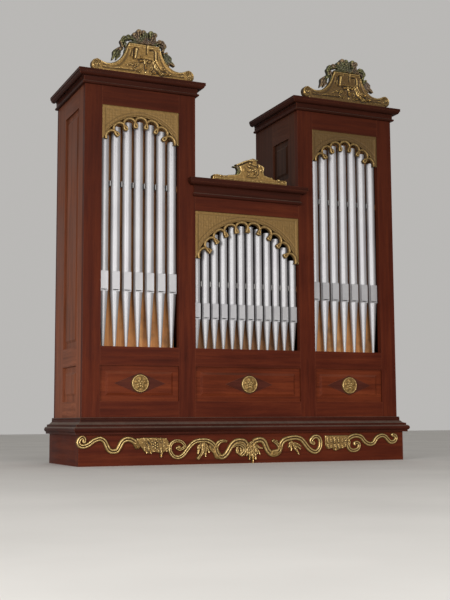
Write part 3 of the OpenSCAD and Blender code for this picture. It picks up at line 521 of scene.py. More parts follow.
# %% [markdown]
# ## The carver's sheet
# A carver works from the front into a flat board. Here a carving is a sheet of points every 2 mm: one
# number says how far a point lies outside the outline, and one how high it stands. Ribbons, leaves
# and flowers are laid on the sheet one after another, and the higher one wins where they cross.
# This was chosen over sculpting by hand because each stroke keeps a size in millimetres, and over
# displacement because the pierced outline and the relief come out of one drawing.

# %% Sheet of carving
CLEAR = 1000.0


class Sheet:
    """Carving seen from the front: outside is the distance to the wood, negative in it."""

    def __init__(self, x0, x1, z0, z1, step=2.0):
        self.step = step
        self.x, self.z = np.meshgrid(np.arange(x0, x1 + step, step), np.arange(z0, z1 + step, step),
                                     indexing="ij")
        self.outside = np.full(self.x.shape, CLEAR)
        self.rise = np.zeros(self.x.shape)

    def lay(self, outside, rise):
        both = (outside < 0) & (self.outside < 0)
        nearer = outside < self.outside
        self.rise = np.where(both, np.maximum(self.rise, rise), np.where(nearer, rise, self.rise))
        self.outside = np.minimum(self.outside, outside)

    def pierce(self, outside):
        self.outside = np.maximum(self.outside, -outside)

    def engrave(self, distance, width, depth):
        self.rise = self.rise - depth * np.exp(-(distance / width) ** 2)


print("a sheet of 100 by 60 mm has", Sheet(0, 100, 0, 60).x.size, "points")

# %% [markdown]
# A stroke follows a smooth path. For each point of the sheet the nearest place on the path is found,
# which gives the distance, the share of the way along, and the side.

# %% Paths and strokes
def smooth_path(points, steps=8):
    """Curve through the points, with even spans cut into steps."""
    p = np.array([points[0], *points, points[-1]], float)
    t = np.arange(steps)[:, None] / steps
    spans = [b + ((c - a) * t + (2 * a - 5 * b + 4 * c - d) * t ** 2 + (3 * b - a - 3 * c + d) * t ** 3) / 2
             for a, b, c, d in zip(p, p[1:], p[2:], p[3:])]
    return np.vstack([*spans, p[-1:]])


def spiral(middle, radii, turn_from, turn_to, steps=26):
    t = np.linspace(0, 1, steps)
    angle = np.radians(turn_from + (turn_to - turn_from) * t)
    radius = radii[0] + (radii[1] - radii[0]) * t
    return np.array(middle) + np.stack([radius * np.cos(angle), radius * np.sin(angle)], 1)


def follow(sheet, path, reach=70.0):
    """Distance of each point to a path, its share along the path and its side."""
    path = np.asarray(path, float)
    low, high = path.min(0) - reach, path.max(0) + reach
    near = (sheet.x > low[0]) & (sheet.x < high[0]) & (sheet.z > low[1]) & (sheet.z < high[1])
    x, z = sheet.x[near], sheet.z[near]
    best, share, side = np.full(x.shape, CLEAR), np.zeros(x.shape), np.ones(x.shape)
    spans = path[1:] - path[:-1]
    lengths = np.maximum(np.hypot(*spans.T), 1e-6)
    starts = np.concatenate([[0], np.cumsum(lengths)[:-1]])
    for a, span, length, start in zip(path, spans, lengths, starts):
        px, pz = x - a[0], z - a[1]
        u = np.clip((px * span[0] + pz * span[1]) / length ** 2, 0, 1)
        gap = np.hypot(px - u * span[0], pz - u * span[1])
        take = gap < best
        best = np.where(take, gap, best)
        share = np.where(take, (start + u * length) / lengths.sum(), share)
        side = np.where(take, np.sign(span[0] * pz - span[1] * px + 1e-9), side)
    out = [np.full(sheet.x.shape, CLEAR), np.zeros(sheet.x.shape), np.ones(sheet.x.shape)]
    for whole, part in zip(out, (best, share, side)):
        whole[near] = part
    return out


def inside_of(sheet, outline):
    """Signed distance to a closed outline, negative inside it."""
    closed = np.vstack([outline, outline[:1]])
    gap = follow(sheet, closed, CLEAR)[0]
    odd = np.zeros(sheet.x.shape, bool)
    for (ax, az), (bx, bz) in zip(closed, closed[1:]):
        if az != bz:
            crossing = (bx - ax) * (sheet.z - az) / (bz - az) + ax
            odd ^= ((az > sheet.z) != (bz > sheet.z)) & (sheet.x < crossing)
    return np.where(odd, -gap, gap)


# %% [markdown]
# The four strokes of this carving: a ribbon with a groove, an acanthus leaf with lobes and veins, a
# flower with a heart, and a slab with a rounded edge. Heights are in millimetres above the board.

# %% Ribbon, leaf, flower and slab
def ribbon(sheet, path, width, rise, groove_share=0.6):
    """Band with rounded edges and a groove along its middle; width at its start and end."""
    gap, share, _ = follow(sheet, path)
    half = (width[0] + (width[1] - width[0]) * share) / 2
    across = np.clip(gap / half, 0, 1)
    crown = 0.2 + 0.8 * np.sqrt(1 - across ** 3)
    cut = 1 - groove_share * np.exp(-(across / 0.2) ** 2)
    sheet.lay(gap - half, rise * crown * cut)


# Share by which a leaf lies lower at its root and higher at its tip
LIFT = 0.35


def leaf(sheet, points, width, rise, lobes, blunt=0.0):
    """Acanthus leaf along a path, with lobed edges, side veins and a sunk rib. Blunt is the width
    left at the tip, as a share of the whole."""
    gap, share, side = follow(sheet, smooth_path(points))
    swell = np.sin(np.pi * np.clip(share, 0.02, 0.99) ** 0.7) ** 0.75
    swell = np.where(share > 0.5, np.maximum(swell, blunt), swell)
    beat = 2 * np.pi * (lobes * share + 0.08 * side)
    half = np.maximum(width / 2 * swell * (0.8 + 0.2 * np.cos(beat)), 1.5)
    across = np.clip(gap / half, 0, 1)
    crown = np.sqrt(1 - across ** 2.2)
    veins = 0.9 + 0.1 * np.cos(2 * beat - 2.2 * across)
    rib = 1 - 0.45 * np.exp(-(gap / (0.07 * width)) ** 2)
    sheet.lay(gap - half, rise * (0.15 + 0.85 * crown * veins * rib) * (1 - LIFT + LIFT * 2 * share))


def flower(sheet, x, z, radius, rise, petals, turn=90.0):
    """Flower with cupped petals round a domed heart."""
    dx, dz = sheet.x - x, sheet.z - z
    far = np.hypot(dx, dz) / radius
    wave = np.cos(petals * (np.arctan2(dz, dx) - math.radians(turn)))
    petal = (0.5 + 0.5 * wave) ** 0.6 * np.sin(np.pi * np.clip(far, 0, 0.97)) ** 0.7
    heart = 1.1 * np.sqrt(np.clip(1 - (far / 0.3) ** 2, 0, 1))
    sheet.lay((far - 0.84 - 0.16 * wave) * radius, rise * np.maximum(0.2 + 0.8 * petal, heart))


def slab(sheet, outside, rise, rounding):
    """Raised field with a rounded edge."""
    sheet.lay(outside, rise * np.sqrt(1 - (1 - np.clip(-outside / rounding, 0, 1)) ** 2))


sample = Sheet(0, 100, 0, 40)
ribbon(sample, [(15, 20), (85, 20)], (24, 24), 12)
print("a ribbon 24 mm wide stands", round(sample.rise[sample.outside < 0].max(), 1), "mm high")

# %% [markdown]
# Now the sheet becomes wood. Every cell inside the outline gives a face, the points on the rim are
# drawn on to the outline itself, and walls run back to a flat back, so the piece is a closed solid.
# The height against its surroundings is kept for the gilding.

# %% Cells and points of a carving
def blurred(grid, rounds):
    for _ in range(rounds):
        p = np.pad(grid, 1, mode="edge")
        grid = (p[1:-1, 1:-1] * 2 + p[:-2, 1:-1] + p[2:, 1:-1] + p[1:-1, :-2] + p[1:-1, 2:]) / 6
    return grid


def wood_cells(outside):
    """Cells of the sheet that are wood. Where two touch at a corner only, a third one joins them."""
    cells = (outside[:-1, :-1] + outside[1:, :-1] + outside[:-1, 1:] + outside[1:, 1:]) < 0
    for _ in range(3):
        slanted = cells[:-1, :-1] & cells[1:, 1:] & ~cells[1:, :-1] & ~cells[:-1, 1:]
        cells[1:, :-1] |= slanted
        slanted = ~cells[:-1, :-1] & ~cells[1:, 1:] & cells[1:, :-1] & cells[:-1, 1:]
        cells[:-1, :-1] |= slanted
    return cells


def drawn_to_outline(sheet, rim):
    """Places of the points of a sheet, those on the rim moved on to the outline."""
    slope_x, slope_z = np.gradient(sheet.outside, sheet.step)
    steep = np.maximum(slope_x ** 2 + slope_z ** 2, 0.2)
    pull = np.clip(-sheet.outside / steep, -0.8 * sheet.step, 0.8 * sheet.step)
    return (np.where(rim, sheet.x + pull * slope_x, sheet.x),
            np.where(rim, sheet.z + pull * slope_z, sheet.z))


# %% Walls and back of a carving
import bmesh


def closed_mesh(name, front, quads, back):
    """Mesh with these points and faces at the front, walls round its outline and a flat back."""
    # Edges that belong to one face only are the outline
    edges = np.concatenate([quads[:, [k, (k + 1) % 4]] for k in range(4)])
    _, index, count = np.unique(np.sort(edges, 1), axis=0, return_index=True, return_counts=True)
    outline = edges[index[count == 1]]
    ring = np.unique(outline)
    behind = np.full(len(front), -1)
    behind[ring] = len(front) + np.arange(len(ring))
    rear = front[ring].copy()
    rear[:, 1] = back
    walls = np.stack([outline[:, 1], outline[:, 0], behind[outline[:, 0]], behind[outline[:, 1]]], 1)
    mesh = bpy.data.meshes.new(name)
    mesh.from_pydata(np.vstack([front, rear]) * MM, [], np.vstack([quads, walls]).tolist())
    shape = bmesh.new()
    shape.from_mesh(mesh)
    open_edges = [e for e in shape.edges if e.is_boundary]
    bmesh.ops.triangle_fill(shape, edges=open_edges, normal=(0, 1, 0))
    bmesh.ops.recalc_face_normals(shape, faces=shape.faces)
    shape.to_mesh(mesh)
    shape.free()
    return mesh


# %% Turn a sheet into a carved piece
MARK_BLUR, WEAR_BLUR = 12, 14
REAR_HEIGHT = 0.25
SHARP_EDGE = math.radians(55)


def carve(name, node, sheet, place, back, thick, finish, relief, uneven=0.3):
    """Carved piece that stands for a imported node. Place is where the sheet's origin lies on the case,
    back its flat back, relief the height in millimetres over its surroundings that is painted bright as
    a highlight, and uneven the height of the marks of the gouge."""
    cells = wood_cells(sheet.outside)
    around = np.pad(cells, 1).astype(int)
    touching = around[:-1, :-1] + around[1:, :-1] + around[:-1, 1:] + around[1:, 1:]
    used = touching > 0
    x, z = drawn_to_outline(sheet, used & (touching < 4))
    # The length of the name is the seed, so the marks are the same each time
    marks = blurred(np.random.default_rng(len(name)).normal(size=x.shape), MARK_BLUR)
    rise = np.maximum(sheet.rise + uneven / marks.std() * marks, 0)
    # Painted light: carved is low in hollows and high on ridges, and the gilding paints it as shade and
    # highlight
    carved = 0.5 + (rise - blurred(rise, WEAR_BLUR)) / relief + 0.12 * (rise / max(rise.max(), 1) - 0.5)

    number = np.full(x.shape, -1)
    number[used] = np.arange(used.sum())
    front = np.stack([place[0] + x[used], back - thick - rise[used], place[1] + z[used]], 1)
    i, j = np.nonzero(cells)
    quads = np.stack([number[i, j], number[i + 1, j], number[i + 1, j + 1], number[i, j + 1]], 1)
    mesh = closed_mesh(name, front, quads, back)
    heights = np.full(len(mesh.vertices), REAR_HEIGHT)
    heights[:len(front)] = np.clip(carved, 0, 1)[used]
    mesh.attributes.new("carved", "FLOAT", "POINT").data.foreach_set("value", heights)
    mesh.shade_smooth()
    mesh.set_sharp_from_angle(angle=SHARP_EDGE)
    mesh.materials.append(finish)

    piece = bpy.data.objects.new(name, mesh)
    scene.collection.objects.link(piece)
    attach(piece, "root")
    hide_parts(node)
    print(name, len(mesh.polygons), "faces")

# %% [markdown]
# ## Pierced shades
# Over each flat of pipes hangs a gilt board cut to an arch. Its corners are engraved, and under the
# arch a row of C-scrolls hooks over the tops of the pipes, each pair ending in a curled cusp. One
# scroll is drawn, and then turned round the middle of the arch as often as the arch has scrolls.

# %% Carve the three shades
# Thickness of the board, its distance behind the front face, and the width of its border
SHADE_T, SHADE_INSET, BORDER = 13.0, 5.0, 20.0
# Distance of the engraved line outside the arch, of the ring of scrolls inside it, and of tool marks
LINE_OFF, RING_OFF, TOOL_PITCH = 26, 30, 16
# Half the width of a scroll in its middle, and half of what it spans as it is drawn here
SCROLL_HALF, SCROLL_SPAN = 7.8, 33
# One C-scroll over its place on the ring
SCROLL = [(-20, -31), (-28, -34), (-34, -26), (-32, -10), (-28, 8), (-18, 21), (0, 27),
          (18, 21), (28, 8), (32, -10), (34, -26), (28, -34), (20, -31)]


def shade(node, crown, scrolls, finish=matt_gold):
    """Pierced shade; crown is the height of the board over the top of its arch."""
    low, high = box_mm(node)
    wide, top, side_bottom = high[0] - low[0], high[2], low[2]
    radius = wide / 2 + SHADE_T
    middle_z = top - crown - radius
    sheet = Sheet(-wide / 2, wide / 2, side_bottom, top)
    from_middle = np.hypot(sheet.x, sheet.z - middle_z)
    board = np.maximum(np.abs(sheet.x) - wide / 2, np.maximum(sheet.z - top, side_bottom - sheet.z))
    spandrel = np.maximum(board, radius - from_middle)
    slab(sheet, spandrel, 1.6, 3.0)
    # Faint tool marks in both slanting directions
    both_ways = [np.cos(np.pi * way / TOOL_PITCH) for way in (sheet.x + sheet.z, sheet.x - sheet.z)]
    sheet.rise = sheet.rise + 0.25 * both_ways[0] * both_ways[1]
    sheet.engrave(from_middle - radius - LINE_OFF, 2.2, 1.6)
    # Raised border along the top and the sides, and a roll along the arch
    border = np.maximum(spandrel, -BORDER - board)
    slab(sheet, border, 3.4, 4.0)
    roll = np.abs(from_middle - radius - 4.5) - 4.5
    slab(sheet, np.maximum(spandrel, roll), 4.2, 4.5)
    step = 2 * math.acos((side_bottom - middle_z) / radius) / scrolls
    ring = radius - RING_OFF
    size = (ring * math.sin(step / 2) + 3) / SCROLL_SPAN
    for i in range(scrolls):
        lean = (i - (scrolls - 1) / 2) * step
        turn = np.array([[math.cos(lean), -math.sin(lean)], [math.sin(lean), math.cos(lean)]])
        path = smooth_path(np.array(SCROLL) * (size, 1) + (0, ring), 5) @ turn + (0, middle_z)
        gap, share, _ = follow(sheet, path)
        half = SCROLL_HALF * (0.66 + 0.34 * np.sin(np.pi * share))
        across = np.clip(gap / half, 0, 1)
        sheet.lay(np.maximum(gap - half, board), 9 * (0.4 + 0.6 * np.sqrt(1 - across ** 2)))
    carve(node + "_carving", node, sheet, ((low[0] + high[0]) / 2, 0), FRONT + SHADE_INSET + SHADE_T,
          SHADE_T, finish, 9.0, 0.15)


shade("left_shade", 51, 7)
shade("centre_shade", 43, 10)
# The right shade takes the darker gold, painted shade for the weaker light on the right tower
shade("right_shade", 51, 7, shaded_gold)

# %% [markdown]
# ## Crests
# A crest is a gilt pedestal with fluted corners, flanks that sweep down into a strip, and volutes at
# its ends. Acanthus and a star flower lie on its foot. On top and down both flanks hang flowers and
# leaves that were glazed green and brown over the gilding, so they are a piece with its own finish.

# %% Strokes for the crests
def mirrored(points):
    return [(-x, z) for x, z in reversed(points)]


def disc(sheet, x, z, radius, rise, rounding):
    slab(sheet, np.hypot(sheet.x - x, sheet.z - z) - radius, rise, rounding)


def volute(sheet, path, eye, radii, turns, width, rise):
    """Ribbon that runs along a path and rolls up round an eye."""
    last = math.degrees(math.atan2(path[-1][1] - eye[1], path[-1][0] - eye[0]))
    curl = spiral(eye, radii, last, last + 360 * turns)
    ribbon(sheet, np.vstack([smooth_path(path), curl[1:]]), width, rise)
    disc(sheet, *eye, radii[1] * 0.9, rise, radii[1])


def groove(sheet, points, width, depth):
    """Line cut along a smooth path."""
    sheet.engrave(follow(sheet, smooth_path(points))[0], width, depth)


# %% Body of a tower crest
# Foot that goes on below the carving, down to the cornice, and height of the plain field
FOOT, FIELD = 10, 11
# Thickness of a crest's board and of its leaves, and how far the leaves stand before the board's back
BOARD_T, LEAF_T, LEAF_AHEAD = 24, 18, 6
# Right half of the outline, from the volute up to the neck, and the roll that follows it
FLANK = [
    (258, 62), (240, 55), (220, 51), (200, 52), (180, 58), (163, 68), (148, 80), (137, 92), (126, 107),
    (115, 127), (106, 147), (99, 168), (93, 187),
]
FLANK_ROLL = [
    (276, 62), (252, 52), (222, 42), (190, 44), (160, 56), (138, 76), (120, 101), (107, 128), (98, 156),
]
BODY = np.array([(-276, -FOOT), (276, -FOOT), *FLANK, *mirrored(FLANK)], float)
VOLUTE_X, VOLUTE_R = 276, 34
NECK_Z = 162


def crest_body(sheet):
    """Pedestal of a tower crest: field, rolls, volutes, lintel, a reed and a flute, and a seam."""
    slab(sheet, inside_of(sheet, BODY), FIELD, 8)
    for turn in (1, -1):
        disc(sheet, VOLUTE_X * turn, VOLUTE_R, VOLUTE_R, FIELD - 3, 8)
        roll = [(x * turn, z) for x, z in FLANK_ROLL]
        volute(sheet, roll[::-1], (VOLUTE_X * turn, VOLUTE_R), (27, 9), -1.2 * turn, (8, 14), FIELD + 2)
        groove(sheet, [(x * turn * 0.97 - 6 * turn, z - 12) for x, z in FLANK_ROLL[1:]], 4.5, 4)
        ribbon(sheet, [(30 * turn, 8), (240 * turn, 8)], (16, 16), FIELD + 2, 0.1)
        groove(sheet, [(60 * turn, 24), (244 * turn, 22)], 3.5, 5)
        # Sunk field between the pilaster strips, with its own dark edges
        groove(sheet, [(64 * turn, 96), (63 * turn, 126), (60 * turn, 154), (36 * turn, 156)], 4, 8)
    slab(sheet, np.maximum(inside_of(sheet, BODY) + 3, NECK_Z - sheet.z), FIELD + 3, 4)
    groove(sheet, [(14, 190), (14, 160), (14, 130)], 3.5, 7)
    ribbon(sheet, [(-48, 150), (-56, 98)], (17, 11), FIELD + 13, 0)
    groove(sheet, [(-70, 150), (-80, 110)], 4, 6)
    groove(sheet, [(-36, 92), (10, 97), (56, 92)], 5, 7)
    groove(sheet, [(82, 146), (84, 108)], 4, 7)
    # Hollow beside the long acanthus stroke
    groove(sheet, [(66, 92), (84, 62), (104, 42), (134, 38)], 6, 8)


# %% [markdown]
# A leaf is a path, a width, a rise, a number of lobes and the bluntness of its tip. The acanthus lies
# on the foot, and the painted leaves lie over the neck and down both flanks, with small gaps between
# them. No crest stands exactly in the middle of its tower, so each has its own shift to the right and
# up. The right one takes a darker copy of the gilding as painted shade, and has a few leaves and a gap
# of its own.

# %% Leaves of the tower crests
LEAVES_ABOVE = [
    ([(-84, 192), (-40, 197), (0, 199), (50, 197), (92, 192)], 26, 7, 5, 0.6),
    ([(-18, 196), (-50, 214), (-92, 218)], 40, 11, 2, 0.8),
    ([(-12, 196), (-44, 220), (-56, 236)], 38, 15, 2, 0.8),
    ([(-6, 196), (-30, 226), (-30, 254)], 44, 19, 2, 0.85),
    ([(0, 196), (0, 228), (-2, 256)], 38, 15, 2, 0.85),
    ([(14, 196), (16, 226), (16, 246)], 30, 11, 1, 0.8),
    ([(30, 196), (42, 226), (43, 255)], 42, 18, 2, 0.85),
    ([(34, 196), (58, 222), (66, 250)], 38, 14, 2, 0.85),
    ([(56, 196), (82, 208), (96, 214)], 34, 15, 2, 0.8),
    ([(-84, 218), (-118, 208), (-134, 184), (-130, 158)], 30, 14, 3, 0.5),
    ([(-98, 206), (-112, 180), (-106, 146)], 20, 8, 2, 0.5),
    ([(84, 214), (116, 210), (127, 188), (116, 164)], 30, 14, 3, 0.5),
    ([(100, 196), (120, 180), (118, 150)], 22, 9, 2, 0.4),
    ([(-128, 146), (-156, 134), (-172, 108), (-190, 72)], 40, 15, 2),
    ([(-140, 132), (-154, 102), (-166, 76)], 30, 10, 2),
    ([(-112, 146), (-111, 122), (-122, 98), (-138, 80)], 17, 8, 1, 0.4),
    ([(120, 150), (142, 134), (158, 106), (188, 82)], 46, 15, 2),
    ([(126, 128), (138, 104), (156, 80)], 30, 10, 2),
]
# Gaps and buds: x, z and radius
LEAF_GAPS = [
    (-102, 189, 8), (30, 216, 6), (30, 224, 5), (84, 191, 7), (-135, 112, 6), (-136, 100, 6),
    (-133, 122, 5),
]
BUDS = [(-144, 138, 9), (124, 148, 7), (138, 152, 8)]
ACANTHUS = [
    ([(54, 98), (62, 70), (78, 44), (104, 18)], 30, 16, 2, 0.7),
    ([(96, 22), (124, 20), (152, 22)], 20, 14, 2, 0.6),
    ([(100, 70), (114, 61), (124, 50)], 18, 10, 1, 0.6),
    ([(-20, 66), (-46, 60), (-64, 40)], 26, 11, 2, 0.3),
    ([(-6, 50), (-34, 22), (-62, 34)], 20, 9, 2, 0.3),
    ([(-40, 88), (-70, 62), (-112, 44)], 24, 7, 2, 0.3), ([(2, 94), (7, 66), (8, 40)], 22, 16, 1, 0.5),
    ([(2, 86), (-10, 85), (-24, 82)], 20, 15, 1, 0.8), ([(4, 86), (15, 86), (28, 82)], 20, 15, 1, 0.8),
    ([(-32, 107), (-26, 107), (-20, 107)], 18, 6, 1, 0.9),
    ([(14, 52), (34, 62), (50, 48), (38, 34)], 18, 9, 1, 0.5),
    ([(20, 30), (44, 18), (70, 24)], 20, 10, 2, 0.4), ([(-14, 24), (-4, 22), (6, 20)], 17, 4, 1, 0.8),
]
ACANTHUS_RIGHT = [
    ([(60, 122), (54, 104), (40, 84)], 16, 6, 2, 0.4), ([(-52, 84), (-50, 66), (-46, 50)], 14, 6, 1, 0.5),
    ([(120, 28), (140, 30), (160, 32)], 12, 5, 1),
]


# %% Carve the tower crests
def tower_crest(node, shift, acanthus, gaps, finish):
    low, high = box_mm(node)
    place = ((low[0] + high[0]) / 2 + shift[0], low[2] + shift[1])
    back = high[1] - 10
    body = Sheet(-312, 312, -shift[1], 190)
    crest_body(body)
    for points, width, rise, *more in acanthus:
        leaf(body, points, width, FIELD + rise, *more)
    carve(node + "_carving", node, body, place, back, BOARD_T, finish, 5.5)
    top = Sheet(-204, 204, 60, 284)
    for points, width, rise, *more in LEAVES_ABOVE:
        leaf(top, points, width, rise, *more)
    for x, z, radius in gaps:
        top.pierce(np.hypot(top.x - x, top.z - z) - radius)
    for x, z, radius in BUDS:
        disc(top, x, z, radius, 18, radius)
    carve(node + "_leaves", node, top, place, back - LEAF_AHEAD, LEAF_T, painted_leaf, 9.0)


tower_crest("left_crest", (7, 1), ACANTHUS, LEAF_GAPS, gold)
# The right crest takes the darker gold as painted shade
tower_crest("right_crest", (8, 9), ACANTHUS + ACANTHUS_RIGHT, LEAF_GAPS[:3] + [(-128, 176, 5)], shaded_gold)

# %% [markdown]
# The centre has a lower crest, and no half of it is like the other: a shell of flat ribs rises from
# the left and rolls over at the top, a dark leaf curls round an ear on the left, and the right side
# droops. It stands on a strip with small scrolls at its ends.

# %% Strokes of the centre crest
CREST_TOP = [
    (242, 20), (206, 24), (180, 25), (154, 28), (145, 39), (120, 41), (94, 50), (88, 64), (93, 80),
    (95, 95), (85, 105), (65, 111), (50, 121), (45, 133), (35, 140), (20, 142), (0, 135), (-30, 127),
    (-50, 117), (-70, 105), (-84, 98), (-72, 88), (-64, 74), (-63, 60), (-70, 47), (-88, 40), (-110, 36),
    (-140, 32), (-150, 25), (-175, 28), (-212, 31), (-232, 24), (-241, 14),
]
CREST_GROOVES = [
    [(44, 66), (40, 56), (24, 42)], [(56, 74), (58, 56), (44, 38)], [(-20, 96), (-4, 84), (20, 86)],
    [(-18, 62), (4, 58), (30, 72)], [(72, 100), (80, 84), (78, 66)], [(-22, 30), (10, 26), (50, 30)],
]
# Bosses: x, z, radius and rise over the field
BOSSES = [
    (-5, 110, 9, 12), (-13, 44, 8, 12), (-2, 72, 8, 7), (-5, 92, 8, 5), (187, 23, 9, 10), (16, 70, 7, 5),
    (32, 78, 8, 4), (70, 76, 12, 4), (-192, 20, 7, 5), (210, 16, 6, 5),
]


# %% Centre crest
def centre_crest(node):
    low, high = box_mm(node)
    place = ((low[0] + high[0]) / 2 + 6, low[2] + 6)
    back = high[1] - 8
    sheet = Sheet(-243, 243, -6, 144)
    outline = inside_of(sheet, np.array([(-242, -FOOT), (242, -FOOT), *CREST_TOP], float))
    slab(sheet, outline, FIELD, 6)
    ribbon(sheet, [(-222, 8), (222, 8)], (15, 15), FIELD + 3, 0.1)
    # Moulding along the slope of the top, and the hollow under it
    slope = smooth_path([(-84, 96), (-58, 108), (-30, 121), (4, 130), (30, 134)])
    ribbon(sheet, slope, (9, 13), FIELD + 5, 0.1)
    groove(sheet, [(-74, 92), (-52, 102), (-28, 113), (-8, 122), (14, 118)], 4, 8)
    # The right shoulder hangs behind a deep hollow
    groove(sheet, [(50, 128), (51, 112), (50, 94)], 6, 10)
    groove(sheet, [(8, 104), (28, 97), (50, 96)], 4, 6)
    for points in CREST_GROOVES:
        groove(sheet, points, 3, 4)
    for x, z, radius, rise in BOSSES:
        disc(sheet, x, z, radius, FIELD + rise, radius)
    # Three leaves that spread from one point
    for end in ((34, 64), (38, 50), (30, 36)):
        leaf(sheet, [(-4, 54), ((end[0] - 4) / 2, (end[1] + 56) / 2), end], 15, FIELD + 5, 1, 0.4)
    # Shell between the ear and the star flower
    disc(sheet, -38, 72, 22, FIELD + 3, 22)
    for turn in (1, -1):
        volute(sheet, [(150 * turn, 24), (186 * turn, 20), (214 * turn, 24)], (229 * turn, 14), (11, 4),
               -0.9 * turn, (8, 8), FIELD + 3)
    carve(node + "_carving", node, sheet, place, back, BOARD_T, gold, 6.0)
    # The dark leaf round the ear, and the one that rolls over the top
    ear = Sheet(-120, 60, 30, 148)
    leaf(ear, [(-72, 102), (-76, 84), (-74, 64), (-82, 42)], 30, 14, 1, 0.4)
    leaf(ear, [(-74, 96), (-86, 96), (-92, 98)], 12, 10, 1, 0.3)
    leaf(ear, [(-74, 84), (-92, 84), (-110, 86)], 14, 10, 1)
    leaf(ear, [(0, 134), (22, 136), (42, 132)], 16, 20, 2, 0.5)
    carve(node + "_leaves", node, ear, place, back - LEAF_AHEAD, LEAF_T, painted_leaf, 9.0)


centre_crest("centre_crest")

# %% [markdown]
# ## Apron
# Along the plinth runs a waving ribbon with a groove. It rolls up into a volute on each side, has
# small curls and hanging leaves in its waves, and passes behind a bunch of leaves and flowers. Its
# waves aren't regular, so each path was read from the photograph, laid flat on the plinth.

# %% Apron
APRON_TOP = 162
RIBBON_WIDER = 1.1
GROUND_RISE, FLOWER_RISE, EYE_RISE = 7, 14, 11


def apron(node, low_x, high_x, ribbons, leaves, ground=(), flowers=(), eyes=()):
    """Part of the apron between two places across the plinth. A ribbon is a path, its widths and its
    rise, ground the outlines of the wood between the leaves of a bunch, and eyes are in the volutes."""
    sheet = Sheet(low_x, high_x, 2, APRON_TOP)
    for points, width, rise in ribbons:
        ribbon(sheet, smooth_path(points), (width[0] * RIBBON_WIDER, width[1] * RIBBON_WIDER), rise)
    for outline in ground:
        slab(sheet, inside_of(sheet, np.array(outline, float)), GROUND_RISE, 5)
    for points, width, rise, *more in leaves:
        leaf(sheet, points, width, rise, *more)
    for x, z, radius, petals in flowers:
        flower(sheet, x, z, radius, FLOWER_RISE, petals)
    for x, z, radius in eyes:
        disc(sheet, x, z, radius, EYE_RISE, radius)
    carve(node + "_carving", node, sheet, (0, 0), PLINTH_FACE, 4, gold, 6.0)


# %% Left side of the apron
LEFT_RIBBONS = [
    ([(-36, 106), (-52, 122), (-79, 127), (-107, 121), (-130, 102), (-146, 77), (-165, 51), (-188, 38),
      (-208, 45), (-221, 65), (-229, 91), (-251, 116), (-282, 131), (-322, 132), (-357, 124), (-382, 104),
      (-402, 81), (-424, 55), (-452, 41), (-482, 48), (-501, 73), (-504, 97), (-493, 119), (-467, 132),
      (-437, 127), (-419, 111), (-416, 100), (-432, 88), (-448, 84), (-462, 92)], (32, 15), 12),
    ([(-214, 48), (-226, 74), (-222, 100), (-204, 122), (-180, 128), (-162, 126)], (40, 12), 11),
    ([(-126, 92), (-101, 106), (-73, 104), (-52, 88), (-50, 68), (-66, 52)], (12, 26), 14),
    ([(-995, 134), (-995, 148), (-1006, 156), (-1020, 146), (-1026, 127), (-1016, 111), (-995, 108),
      (-968, 118), (-945, 135), (-922, 145), (-903, 147), (-883, 136), (-871, 116), (-859, 92),
      (-845, 81), (-829, 79), (-810, 83), (-797, 101), (-786, 122), (-772, 137), (-751, 144), (-726, 139),
      (-707, 125), (-694, 104)], (22, 29), 12),
]
LEFT_LEAVES = [
    ([(-302, 126), (-303, 96), (-312, 66), (-336, 34)], 34, 17, 1, 0.55),
    ([(-306, 122), (-326, 98), (-338, 60)], 30, 10, 2, 0.3),
    ([(-296, 124), (-284, 96), (-270, 66)], 30, 11, 2, 0.3),
    ([(-296, 110), (-290, 76), (-292, 44)], 26, 11, 2, 0.3),
    ([(-262, 104), (-246, 76), (-222, 44)], 30, 8, 1, 0.5),
    ([(-90, 96), (-94, 72), (-76, 42)], 26, 11, 2), ([(-70, 92), (-66, 66), (-50, 40)], 26, 12, 2),
    ([(-709, 130), (-703, 116), (-696, 98)], 21, 22, 1, 0.5),
    ([(-681, 144), (-665, 120), (-655, 96)], 21, 12, 1, 0.5),
    ([(-659, 148), (-643, 126), (-631, 102)], 21, 15, 1, 0.5),
    ([(-635, 148), (-625, 130), (-615, 114)], 19, 16, 1, 0.5),
    ([(-611, 148), (-609, 132)], 19, 12, 1, 0.6), ([(-585, 148), (-581, 130)], 19, 15, 1, 0.6),
    ([(-559, 148), (-557, 128)], 19, 15, 1, 0.6),
    ([(-533, 144), (-539, 124), (-541, 104)], 21, 12, 1, 0.5),
    ([(-657, 106), (-651, 86), (-641, 68)], 23, 13, 1, 0.4),
    ([(-631, 104), (-627, 84), (-617, 66)], 21, 18, 1, 0.4), ([(-605, 88), (-599, 76)], 19, 11, 1, 0.6),
    ([(-575, 90), (-575, 74)], 19, 14, 1, 0.6), ([(-555, 104), (-554, 76), (-559, 46)], 21, 17, 1, 0.3),
    ([(-531, 108), (-529, 90), (-525, 76)], 21, 12, 1, 0.5),
    ([(-517, 128), (-517, 106), (-523, 90)], 17, 12, 1, 0.5),
]
LEFT_GROUND = [
    [(-699, 148), (-649, 152), (-609, 152), (-569, 150), (-524, 148), (-511, 130), (-509, 106),
     (-517, 82), (-539, 70), (-554, 56), (-565, 66), (-584, 70), (-599, 72), (-617, 62), (-634, 64),
     (-654, 74), (-664, 90), (-679, 104), (-695, 120)],
]
apron("apron_left", -1048, -22, LEFT_RIBBONS, LEFT_LEAVES, LEFT_GROUND, [(-591, 108, 25, 6)],
      [(-449, 94, 13), (-996, 131, 9)])

